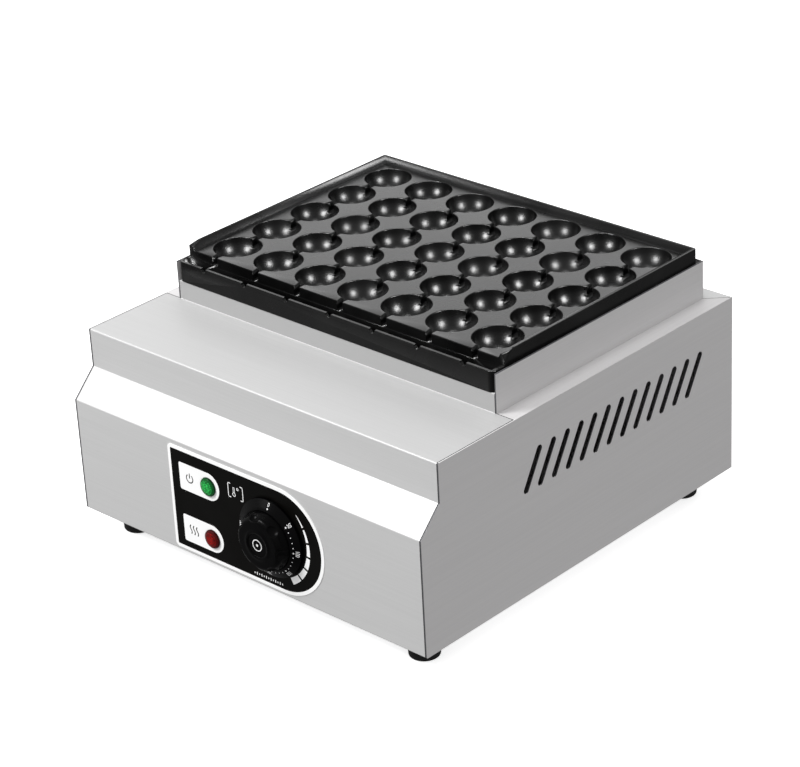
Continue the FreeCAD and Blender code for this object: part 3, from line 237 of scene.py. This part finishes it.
# Grain runs along the smallest number
grain_across = (8.0, 700.0, 700.0)
grain_back = (700.0, 8.0, 700.0)
# The front and rear panels' steel has painted shade on the collar walls above the deck and on edges; the side
# panels' steel has painted shade on edges
satin_front = steel(
    "satin_steel_front", grain_across, (0.545, 0.545, 0.545), (0.565, 0.565, 0.565), 0.44, 0.50, 0.2, 0.06,
    edge_shade_facing=(1.0, 0.0, 0.0), painted_shade_wall=True)
satin_side = steel(
    "satin_steel_side", grain_back, (0.54, 0.532, 0.535), (0.56, 0.552, 0.555), 0.44, 0.50, 0.2, 0.06,
    edge_shade_facing=(0.0, 1.0, 0.0))
zinc_sheet = steel("zinc_plated_sheet", grain_across, (0.50, 0.51, 0.52), (0.62, 0.62, 0.62), 0.4, 0.55, 0.9)
zinc_screw = steel(
    "zinc_plated_screw", even_grain(600.0), (0.55, 0.55, 0.53), (0.70, 0.70, 0.67), 0.25, 0.4, 1.0)
heater_steel = steel(
    "heat_darkened_steel", even_grain(90.0), (0.16, 0.14, 0.12), (0.34, 0.31, 0.28), 0.35, 0.55, 1.0)
yellow_brass = steel("plain_brass", even_grain(500.0), (0.62, 0.42, 0.16), (0.82, 0.60, 0.28), 0.25, 0.4, 1.0)
non_stick = moulded(
    "non_stick_coat", (0.0003, 0.0003, 0.0003), (0.0007, 0.0007, 0.0007), 0.25, 0.31, grain=1100.0, bump=0.8,
    depth=0.00008, Specular_IOR_Level=0.085)
dial_black = moulded(
    "dial_black_plastic", (0.0004, 0.0004, 0.0005), (0.0009, 0.0009, 0.001), 0.22, 0.34,
    Specular_IOR_Level=0.05)
plain_black = moulded("black_plastic", (0.012, 0.012, 0.013), (0.022, 0.022, 0.023), 0.35, 0.5, bump=0.2)
foot_rubber = moulded(
    "foot_rubber", (0.003, 0.003, 0.003), (0.006, 0.006, 0.006), 0.55, 0.75, grain=600.0, bump=0.3,
    Specular_IOR_Level=0.2)
label_white = moulded("label_white_print", (0.93, 0.93, 0.93), (0.96, 0.96, 0.96), 0.22, 0.3, bump=0.05)
label_black = moulded(
    "label_black_print", (0.002, 0.0018, 0.0015), (0.003, 0.0028, 0.0025), 0.25, 0.35, bump=0.05,
    Specular_IOR_Level=0.05)
print_white = moulded("dial_white_print", (0.82, 0.82, 0.82), (0.9, 0.9, 0.9), 0.3, 0.4, bump=0.05)
ceramic_white = moulded(
    "unglazed_ceramic", (0.70, 0.67, 0.60), (0.80, 0.78, 0.72), 0.6, 0.8, grain=500.0, bump=0.3)
fibre_felt = moulded(
    "mineral_fibre", (0.55, 0.50, 0.40), (0.75, 0.70, 0.60), 0.9, 1.0, grain=260.0, bump=0.8, depth=0.0006)
wire_brown = moulded("brown_silicone", (0.11, 0.04, 0.02), (0.17, 0.07, 0.03), 0.45, 0.6)
wire_blue = moulded("blue_silicone", (0.02, 0.06, 0.24), (0.04, 0.10, 0.34), 0.45, 0.6)


# A lens is darker between its facets and towards its rim
def lens_material(name, dark, light, glow, lamp_height, coat):
    material = bpy.data.materials.new(name)
    material.use_nodes = True
    tree = material.node_tree
    shader = tree.nodes["Principled BSDF"]
    place = tree.nodes.new("ShaderNodeTexCoord")
    cells = tree.nodes.new("ShaderNodeTexVoronoi")
    cells.inputs["Scale"].default_value = 760.0
    cells.inputs["Randomness"].default_value = 0.35
    tree.links.new(place.outputs["Object"], cells.inputs["Vector"])
    across = tree.nodes.new("ShaderNodeVectorMath")
    across.operation = "MULTIPLY_ADD"
    tree.links.new(place.outputs["Object"], across.inputs[0])
    across.inputs[1].default_value = (1.0, 0.0, 1.0)
    across.inputs[2].default_value = (-LAMP_X / 1000, 0.0, -lamp_height / 1000)
    from_middle = tree.nodes.new("ShaderNodeVectorMath")
    from_middle.operation = "LENGTH"
    tree.links.new(across.outputs["Vector"], from_middle.inputs[0])
    rim = ramp_between(tree, from_middle.outputs["Value"], 0.0050, 0.0062)
    facet = ramp_between(tree, cells.outputs["Distance"], 0.1, 0.6)
    tint = tree.nodes.new("ShaderNodeMix")
    tint.data_type = "RGBA"
    tint.inputs["A"].default_value = (*light, 1.0)
    tint.inputs["B"].default_value = (*dark, 1.0)
    tree.links.new(maths(tree, "MAXIMUM", facet, rim), tint.inputs["Factor"])
    tree.links.new(tint.outputs["Result"], shader.inputs["Base Color"])
    tree.links.new(tint.outputs["Result"], shader.inputs["Emission Color"])
    gloss = ramp_between(tree, cells.outputs["Distance"], 0.1, 0.6, 0.12, 0.3)
    tree.links.new(gloss, shader.inputs["Roughness"])
    height = tree.nodes.new("ShaderNodeBump")
    height.inputs["Strength"].default_value = 0.6
    height.inputs["Distance"].default_value = 0.0003
    tree.links.new(cells.outputs["Distance"], height.inputs["Height"])
    tree.links.new(height.outputs["Normal"], shader.inputs["Normal"])
    shader.inputs["Emission Strength"].default_value = glow
    shader.inputs["Specular IOR Level"].default_value = 0.1
    shader.inputs["Coat Weight"].default_value = coat
    shader.inputs["Coat Roughness"].default_value = 0.08
    return material


green_lens = lens_material(
    "green_lens", (0.001, 0.06, 0.010), (0.05, 0.75, 0.14), 0.3, LAMP_HEIGHTS["green"], 0.12)
red_lens = lens_material(
    "red_lens", (0.05, 0.001, 0.001), (0.40, 0.006, 0.003), 0.2, LAMP_HEIGHTS["red"], 0.03)
green_rim = moulded(
    "green_lamp_rim", (0.001, 0.022, 0.006), (0.002, 0.032, 0.009), 0.2, 0.3, bump=0.03,
    Specular_IOR_Level=0.2)
red_rim = moulded(
    "red_lamp_rim", (0.022, 0.001, 0.001), (0.034, 0.001, 0.001), 0.2, 0.3, bump=0.03, Specular_IOR_Level=0.2)


# Finishes of the carried-over pieces, by name and then by the start of the name
FINISHES = {
    "front_panel": satin_front, "rear_panel": satin_front,
    "side_panel_left": satin_side, "side_panel_right": satin_side,
    "takoyaki_pan": non_stick, "control_label": label_white,
    "knob": dial_black, "knob_cap": dial_black,
    "lamp_body_green": green_rim, "lamp_body_red": red_rim,
    "lamp_lens_green": green_lens, "lamp_lens_red": red_lens,
    "fibre_pad": fibre_felt, "wire_neutral": wire_blue,
}
FINISH_FAMILIES = (
    (("foot_front", "foot_rear"), foot_rubber),
    (("wire_",), wire_brown),
    (("heater_front", "heater_rear", "heater_studs", "sensor_bulb", "thermostat_shaft"), heater_steel),
    (("heater_insulators", "terminal_block"), ceramic_white),
    (("terminal_screws", "earth_", "capillary"), yellow_brass),
    (("lamp_nut", "gland_", "thermostat_body"), plain_black),
    (("base_screws", "rear_screws", "pan_screws", "clamp_bolts", "foot_", "block_screws", "clip_screw",
      "thermostat_screws"), zinc_screw),
    (("",), zinc_sheet),
)
for title, piece in nodes.items():
    finish = FINISHES.get(title)
    if finish is None:
        finish = next(look for starts, look in FINISH_FAMILIES if title.startswith(starts))
    piece.data.materials.clear()
    piece.data.materials.append(finish)


# Mesh helpers
def add_piece(title, mesh, finish, body):
    piece = bpy.data.objects.new(title, mesh)
    scene.collection.objects.link(piece)
    mesh.materials.clear()
    mesh.materials.append(finish)
    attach(piece, body)
    return piece


# A merged copy of a carried-over piece, so that its round faces can be shaded smooth
def smooth_copy(node, title, finish, body):
    mesh = nodes[node].data.copy()
    mesh.name = title
    work = bmesh.new()
    work.from_mesh(mesh)
    bmesh.ops.remove_doubles(work, verts=work.verts, dist=2e-6)
    bmesh.ops.dissolve_degenerate(work, edges=work.edges, dist=1e-7)
    work.to_mesh(mesh)
    work.free()
    mesh.shade_smooth()
    mesh.set_sharp_from_angle(angle=math.radians(SHARP_ANGLE))
    piece = bpy.data.objects.new(title, mesh)
    scene.collection.objects.link(piece)
    even = piece.modifiers.new("even", "WEIGHTED_NORMAL")
    even.keep_sharp = True
    even.weight = 100
    finished = bpy.data.meshes.new_from_object(piece.evaluated_get(bpy.context.evaluated_depsgraph_get()))
    bpy.data.objects.remove(piece)
    piece = add_piece(title, finished, finish, body)
    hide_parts(node)
    return piece


pan = smooth_copy("takoyaki_pan", "non_stick_pan", non_stick, "housing")
dial_knob = smooth_copy("knob", "dial_knob", dial_black, "dial")
smooth_copy("lamp_lens_green", "green_lamp_lens", green_lens, "housing")
smooth_copy("lamp_lens_red", "red_lamp_lens", red_lens, "housing")
for corner in ("front_left", "front_right", "rear_left", "rear_right"):
    smooth_copy(f"foot_{corner}", f"rubber_foot_{corner}", foot_rubber, "housing")


# Flat shapes in the panel's plane are lists of (x, z); they become thin closed plates
def plates(title, shapes, back, front, finish, body, slot):
    work = bmesh.new()
    for shape in shapes:
        outer, inner = shape if isinstance(shape, tuple) else (shape, None)
        rings = []
        for y in (back, front):
            rings.append([[work.verts.new((x / 1000, y / 1000, z / 1000)) for x, z in ring]
                          for ring in ([outer] if inner is None else [outer, inner])])
        for before, after in zip(*rings):
            for number in range(len(before)):
                following = (number + 1) % len(before)
                work.faces.new((before[number], before[following], after[following], after[number]))
        for level in rings:
            if inner is None:
                work.faces.new(level[0])
            else:
                wide, narrow = level
                for number in range(len(outer)):
                    following = (number + 1) % len(outer)
                    work.faces.new((wide[number], wide[following], narrow[following], narrow[number]))
    bmesh.ops.recalc_face_normals(work, faces=work.faces)
    mesh = bpy.data.meshes.new(title)
    work.to_mesh(mesh)
    work.free()
    return add_piece(title, mesh, finish, body)


def arc(x, z, radius, start, stop, steps):
    angles = [math.radians(start + (stop - start) * step / steps) for step in range(steps + 1)]
    return [(x + radius * math.cos(angle), z + radius * math.sin(angle)) for angle in angles]


def disc(x, z, radius, steps):
    return arc(x, z, radius, 0, 360, steps)[:-1]


def hoop(x, z, radius, width, steps):
    return disc(x, z, radius + width / 2, steps), disc(x, z, radius - width / 2, steps)


def bar(x, z, width, height):
    left, right, low, high = x - width / 2, x + width / 2, z - height / 2, z + height / 2
    return [(left, low), (right, low), (right, high), (left, high)]


def stroke(points, width):
    left, right = [], []
    for number, point in enumerate(points):
        before, after = points[max(number - 1, 0)], points[min(number + 1, len(points) - 1)]
        along = Vector((after[0] - before[0], after[1] - before[1])).normalized()
        side = Vector((-along.y, along.x)) * width / 2
        left.append((point[0] + side.x, point[1] + side.y))
        right.append((point[0] - side.x, point[1] - side.y))
    return left + right[::-1]


def label_outline(inset):
    middle = (LABEL_LOW + LABEL_HIGH) / 2
    radius = (LABEL_HIGH - LABEL_LOW) / 2
    corner = max(LABEL_CORNER - inset, 1.0)
    left, low, high = LABEL_LEFT + inset, LABEL_LOW + inset, LABEL_HIGH - inset
    return (
        arc(left + corner, low + corner, corner, 180, 270, 6)
        + arc(LABEL_RIGHT - radius, middle, radius - inset, -90, 90, 64)
        + arc(left + corner, high - corner, corner, 90, 180, 6)
    )


def lamp_pad(height):
    left, right, half, corner = -68.4, -23.9, 12.0, 1.6
    return (
        arc(left + corner, height - half + corner, corner, 180, 270, 5)
        + arc(right - half, height, half, -90, 90, 32)
        + arc(left + corner, height + half - corner, corner, 90, 180, 5)
    )


# A place in the panel's plane, by the clock angle round the dial and the distance from its middle
def round_dial(angle, radius):
    turned = math.radians(90 - angle)
    return DIAL_X + radius * math.cos(turned), DIAL_Z + radius * math.sin(turned)


# Growing scale round the dial: six blocks, thin at the top and wide at the bottom
def scale_blocks():
    first, step_angle, block_angle, outer_radius = 44.3, 18.1, 15.4, 40.2
    blocks = []
    for number in range(6):
        outer, inner = [], []
        for part in range(9):
            angle = first + number * step_angle + block_angle * part / 8
            width = 0.35 + 5.6 * max((angle - 44.0) / 107.0, 0.0) ** 0.8
            outer.append(round_dial(angle, outer_radius))
            inner.append(round_dial(angle, outer_radius - width))
        blocks.append(outer + inner[::-1])
    return blocks


def power_mark(x, z):
    ring = arc(x, z, 3.6, 125, 415, 30)
    return [stroke(ring, MARK_WIDTH), bar(x, z + 2.4, MARK_WIDTH, 4.4)]


def heat_mark(x, z):
    waves = []
    for shift in (-3.6, 0.0, 3.6):
        line = [(x + shift + 0.9 * math.sin(step / 16 * 2 * math.pi), z - 4 + step / 2) for step in range(17)]
        waves.append(stroke(line, MARK_WIDTH))
    return waves


# A thermometer and a small ring for degrees, between square brackets
def thermometer_mark(x, z):
    marks = []
    for side in (-1, 1):
        marks += [
            bar(x + side * 6.8, z + 6.0, 3.1, 0.7), bar(x + side * 8.0, z, 0.7, 12.7),
            bar(x + side * 6.8, z - 6.0, 3.1, 0.7)]
    marks.append(hoop(x - 1.8, z - 2.8, 1.5, 0.6, 24))
    marks += [bar(x + shift, z + 0.9, 0.5, 4.6) for shift in (-2.5, -1.1)]
    marks.append(bar(x - 1.8, z + 3.2, 1.9, 0.5))
    marks.append(hoop(x + 2.4, z + 2.9, 0.95, 0.5, 20))
    return marks


# The label's print, in layers a few hundredths of a millimetre thick
plates(
    "label_field", [label_outline(LABEL_BORDER)],
    LABEL_Y + 0.03, LABEL_Y - 0.05, label_black, *HOUSING_LABEL)
plates(
    "label_lamp_pads", [lamp_pad(height) for height in LAMP_HEIGHTS.values()],
    LABEL_Y - 0.03, LABEL_Y - 0.10, label_white, *HOUSING_LABEL)
plates(
    "label_lamp_marks", power_mark(MARK_X, LAMP_HEIGHTS["green"]) + heat_mark(MARK_X, LAMP_HEIGHTS["red"]),
    LABEL_Y - 0.08, LABEL_Y - 0.15, label_black, *HOUSING_LABEL)
ticks = [bar(9.5 + 2.5 * number, 31.0, 0.8, 2.4 if number % 2 else 1.4) for number in range(13)]
plates(
    "label_scale_marks", scale_blocks() + thermometer_mark(-5.4, 97.0) + ticks,
    LABEL_Y - 0.03, LABEL_Y - 0.10, label_white, *HOUSING_LABEL)


# The dial's print lies on the skirt's cone
def skirt_rise(radius):
    slope = (GRIP_FOOT_RISE - SKIRT_RISE) / (SKIRT_RADIUS - GRIP_FOOT_RADIUS)
    return SKIRT_RISE + (SKIRT_RADIUS - radius) * slope


def on_skirt(angle, radius, lift):
    x, z = round_dial(angle, radius)
    return Vector((x / 1000, (PANEL_Y - skirt_rise(radius) - lift) / 1000, z / 1000))


# Numbers stand with their tops outwards and are bent round the skirt's cone
def skirt_number(text, angle):
    curve = bpy.data.curves.new("number", "FONT")
    curve.body = text
    curve.align_x, curve.align_y = "CENTER", "CENTER"
    curve.size = NUMBER_SIZE
    curve.resolution_u = 4
    holder = bpy.data.objects.new("number", curve)
    mesh = bpy.data.meshes.new_from_object(holder)
    bpy.data.objects.remove(holder)
    work = bmesh.new()
    work.from_mesh(mesh)
    for vert in work.verts:
        across, up = vert.co.x * NUMBER_SQUEEZE, vert.co.y
        vert.co = on_skirt(angle + math.degrees(across / NUMBER_RADIUS), NUMBER_RADIUS + up, NUMBER_LIFT)
    bmesh.ops.recalc_face_normals(work, faces=work.faces)
    if sum(face.normal.y * face.calc_area() for face in work.faces) > 0:
        bmesh.ops.reverse_faces(work, faces=work.faces)
    grown_part = bmesh.ops.extrude_face_region(work, geom=list(work.faces))["geom"]
    moved = [item for item in grown_part if isinstance(item, bmesh.types.BMVert)]
    bmesh.ops.translate(work, vec=(0, 0.00012, 0), verts=moved)
    bmesh.ops.recalc_face_normals(work, faces=work.faces)
    work.to_mesh(mesh)
    work.free()
    return mesh


def join_meshes(title, meshes):
    work = bmesh.new()
    for mesh in meshes:
        work.from_mesh(mesh)
    result = bpy.data.meshes.new(title)
    work.to_mesh(result)
    work.free()
    return result


numbers = [skirt_number(str(50 * step), FIRST_NUMBER + NUMBER_STEP * step) for step in range(NUMBERS)]
add_piece("dial_numbers", join_meshes("dial_numbers", numbers), print_white, "dial")


# Dots round the skirt, made by geometry nodes: large ones at the numbers, small ones between them
def dot_ring_tree():
    tree = bpy.data.node_groups.new("dot_ring", "GeometryNodeTree")
    for title, default in (
            ("Dots", 7), ("First Angle", 0.0), ("Step", 0.1), ("Ring Radius", DOT_RING / 1000),
            ("Rise", skirt_rise(DOT_RING) / 1000), ("Tilt", math.radians(DOT_TILT)), ("Dot Radius", 0.0004)):
        kind = "NodeSocketInt" if isinstance(default, int) else "NodeSocketFloat"
        tree.interface.new_socket(title, in_out="INPUT", socket_type=kind).default_value = default
    tree.interface.new_socket("Finish", in_out="INPUT", socket_type="NodeSocketMaterial")
    tree.interface.new_socket("Geometry", in_out="OUTPUT", socket_type="NodeSocketGeometry")
    add, link = tree.nodes.new, tree.links.new
    given, result = add("NodeGroupInput"), add("NodeGroupOutput")
    radius, tilt = given.outputs["Ring Radius"], given.outputs["Tilt"]
    index = add("GeometryNodeInputIndex").outputs["Index"]
    angle = maths(tree, "MULTIPLY_ADD", index, given.outputs["Step"], given.outputs["First Angle"])
    sine, cosine = maths(tree, "SINE", angle), maths(tree, "COSINE", angle)
    spot = add("ShaderNodeCombineXYZ")
    link(maths(tree, "MULTIPLY_ADD", sine, radius, DIAL_X / 1000), spot.inputs["X"])
    link(maths(tree, "SUBTRACT", PANEL_Y / 1000, given.outputs["Rise"]), spot.inputs["Y"])
    link(maths(tree, "MULTIPLY_ADD", cosine, radius, DIAL_Z / 1000), spot.inputs["Z"])
    points = add("GeometryNodePoints")
    link(given.outputs["Dots"], points.inputs["Count"])
    link(spot.outputs["Vector"], points.inputs["Position"])
    facing = add("ShaderNodeCombineXYZ")
    lean = maths(tree, "SINE", tilt)
    link(maths(tree, "MULTIPLY", sine, lean), facing.inputs["X"])
    link(maths(tree, "MULTIPLY", maths(tree, "COSINE", tilt), -1.0), facing.inputs["Y"])
    link(maths(tree, "MULTIPLY", cosine, lean), facing.inputs["Z"])
    turned = add("FunctionNodeAlignRotationToVector")
    turned.axis = "Z"
    link(facing.outputs["Vector"], turned.inputs["Vector"])
    dot = add("GeometryNodeMeshCylinder")
    dot.inputs["Vertices"].default_value = 14
    dot.inputs["Depth"].default_value = 0.00016
    link(given.outputs["Dot Radius"], dot.inputs["Radius"])
    placed = add("GeometryNodeInstanceOnPoints")
    link(points.outputs["Points"], placed.inputs["Points"])
    link(dot.outputs["Mesh"], placed.inputs["Instance"])
    link(turned.outputs["Rotation"], placed.inputs["Rotation"])
    real = add("GeometryNodeRealizeInstances")
    link(placed.outputs["Instances"], real.inputs["Geometry"])
    painted = add("GeometryNodeSetMaterial")
    link(real.outputs["Geometry"], painted.inputs["Geometry"])
    link(given.outputs["Finish"], painted.inputs["Material"])
    link(painted.outputs["Geometry"], result.inputs["Geometry"])
    return tree


def grown_dots(tree, dots, first, step, radius):
    holder = bpy.data.objects.new("grown", bpy.data.meshes.new("grown"))
    scene.collection.objects.link(holder)
    modifier = holder.modifiers.new("grown", "NODES")
    modifier.node_group = tree
    settings = {
        "Dots": dots, "First Angle": math.radians(first), "Step": math.radians(step), "Dot Radius": radius,
        "Ring Radius": DOT_RING / 1000, "Rise": skirt_rise(DOT_RING) / 1000, "Tilt": math.radians(DOT_TILT),
        "Finish": print_white}
    for item in tree.interface.items_tree:
        if item.in_out == "INPUT":
            modifier[item.identifier] = settings[item.name]
    mesh = bpy.data.meshes.new_from_object(holder.evaluated_get(bpy.context.evaluated_depsgraph_get()))
    holder.modifiers.clear()
    bpy.data.objects.remove(holder)
    return mesh


dot_ring = dot_ring_tree()
SMALL_STEP = NUMBER_STEP / 5
dots = [
    grown_dots(dot_ring, 4, FIRST_NUMBER + NUMBER_STEP * (1 + group) + SMALL_STEP, SMALL_STEP, 0.00042)
    for group in range(5)
]
dots.append(grown_dots(dot_ring, NUMBERS, FIRST_NUMBER, NUMBER_STEP, 0.00066))
add_piece("dial_dots", join_meshes("dial_dots", dots), print_white, "dial")

# A plain ring and dot in the middle of the cap
cap_face = PANEL_Y - CAP_RISE
plates(
    "cap_ring", [hoop(DIAL_X, DIAL_Z, 4.6, 0.75, 48), disc(DIAL_X, DIAL_Z, 1.1, 24)],
    cap_face + 0.03, cap_face - 0.05, print_white, "dial", "label_print")


# Camera, with the angles and the place worked out from the photograph's straight edges
def camera_matrix(azimuth, elevation, roll, place):
    azimuth, elevation, roll = (math.radians(angle) for angle in (azimuth, elevation, roll))
    flat = math.cos(elevation)
    back = Vector((math.sin(azimuth) * flat, -math.cos(azimuth) * flat, math.sin(elevation)))
    level = Vector((math.cos(azimuth), math.sin(azimuth), 0))
    up = back.cross(level)
    right = level * math.cos(roll) + up * math.sin(roll)
    top = up * math.cos(roll) - level * math.sin(roll)
    matrix = Matrix((right, top, back)).transposed().to_4x4()
    matrix.translation = place
    return matrix


camera = bpy.data.objects.new("camera", bpy.data.cameras.new("camera"))
scene.collection.objects.link(camera)
camera.data.sensor_fit = "HORIZONTAL"
camera.data.sensor_width = 36.0
camera.data.lens = 127.615
camera.data.clip_end = 50.0
camera.matrix_world = camera_matrix(43.918, 26.589, -3.091, Vector((1.4172, -1.4768, 1.1411)))
scene.camera = camera

# A pale floor, that the model's other surfaces don't see
floor_mesh = bpy.data.meshes.new("floor")
floor_corners = [(x, y, -0.0002) for x, y in ((-9, -9), (9, -9), (9, 9), (-9, 9))]
floor_mesh.from_pydata(floor_corners, [], [(0, 1, 2, 3)])
floor = bpy.data.objects.new("floor", floor_mesh)
scene.collection.objects.link(floor)
floor_mesh.materials.append(moulded(
    "pale_floor", (0.90, 0.90, 0.90), (0.92, 0.92, 0.92), 0.8, 0.9, grain=60.0, bump=0.02,
    Emission_Color=(1.0, 1.0, 1.0, 1.0), Emission_Strength=0.68))
floor.visible_diffuse = False
floor.visible_glossy = False

# The surroundings are white above and grey below, as over a dark table top
world = bpy.data.worlds.new("studio")
scene.world = world
world.use_nodes = True
sky = world.node_tree
direction = sky.nodes.new("ShaderNodeTexCoord")
parts = sky.nodes.new("ShaderNodeSeparateXYZ")
sky.links.new(direction.outputs["Generated"], parts.inputs["Vector"])
sky_strength = ramp_between(sky, parts.outputs["Z"], -0.35, 0.05, 0.385, 0.83)
sky.links.new(sky_strength, sky.nodes["Background"].inputs["Strength"])
sky.nodes["Background"].inputs["Color"].default_value = (1.0, 1.0, 1.0, 1.0)
scene.view_settings.view_transform = "Standard"
scene.view_settings.look = "None"


# Studio flags: a light falls on the listed pieces alone, or on everything but them
def soft_light(title, direction, distance, width, brightness, pieces, share="INCLUDE"):
    light = bpy.data.lights.new(title, "AREA")
    light.shape = "SQUARE"
    light.size = width
    light.energy = brightness * (math.pi * distance) ** 2
    lamp = bpy.data.objects.new(title, light)
    scene.collection.objects.link(lamp)
    aim = Vector((0, 0, 0.15))
    lamp.location = aim + Vector(direction).normalized() * distance
    lamp.rotation_euler = (aim - lamp.location).to_track_quat("-Z", "Y").to_euler()
    flag = bpy.data.collections.new(f"{title}_flag")
    lamp.light_linking.receiver_collection = flag
    for number, piece in enumerate(pieces):
        flag.objects.link(piece)
        flag.collection_objects[number].light_linking.link_state = share


ledges = [nodes["side_panel_left"], nodes["side_panel_right"], nodes["rear_panel"]]
soft_light("key", (-0.41, -0.60, 0.69), 3.2, 0.9, 0.80, [pan], "EXCLUDE")
soft_light("ledge_fill", (0.0, 0.0, 1.0), 2.4, 0.9, 0.45, ledges)
soft_light("dial_sheen", (-0.62, -0.73, 0.25), 2.0, 0.5, 0.12, [dial_knob])
soft_light("left_spark", (-0.127, -0.861, 0.491), 2.0, 0.60, 6.6, [pan])
soft_light("right_spark", (0.866, 0.094, 0.491), 2.0, 0.60, 5.8, [pan])
soft_light("overhead", (0.0, 0.0, 1.0), 2.0, 0.8, 5.4, [pan])
soft_light("plate_sheen", (-0.62, 0.644, 0.448), 1.6, 1.1, 0.47, [pan])
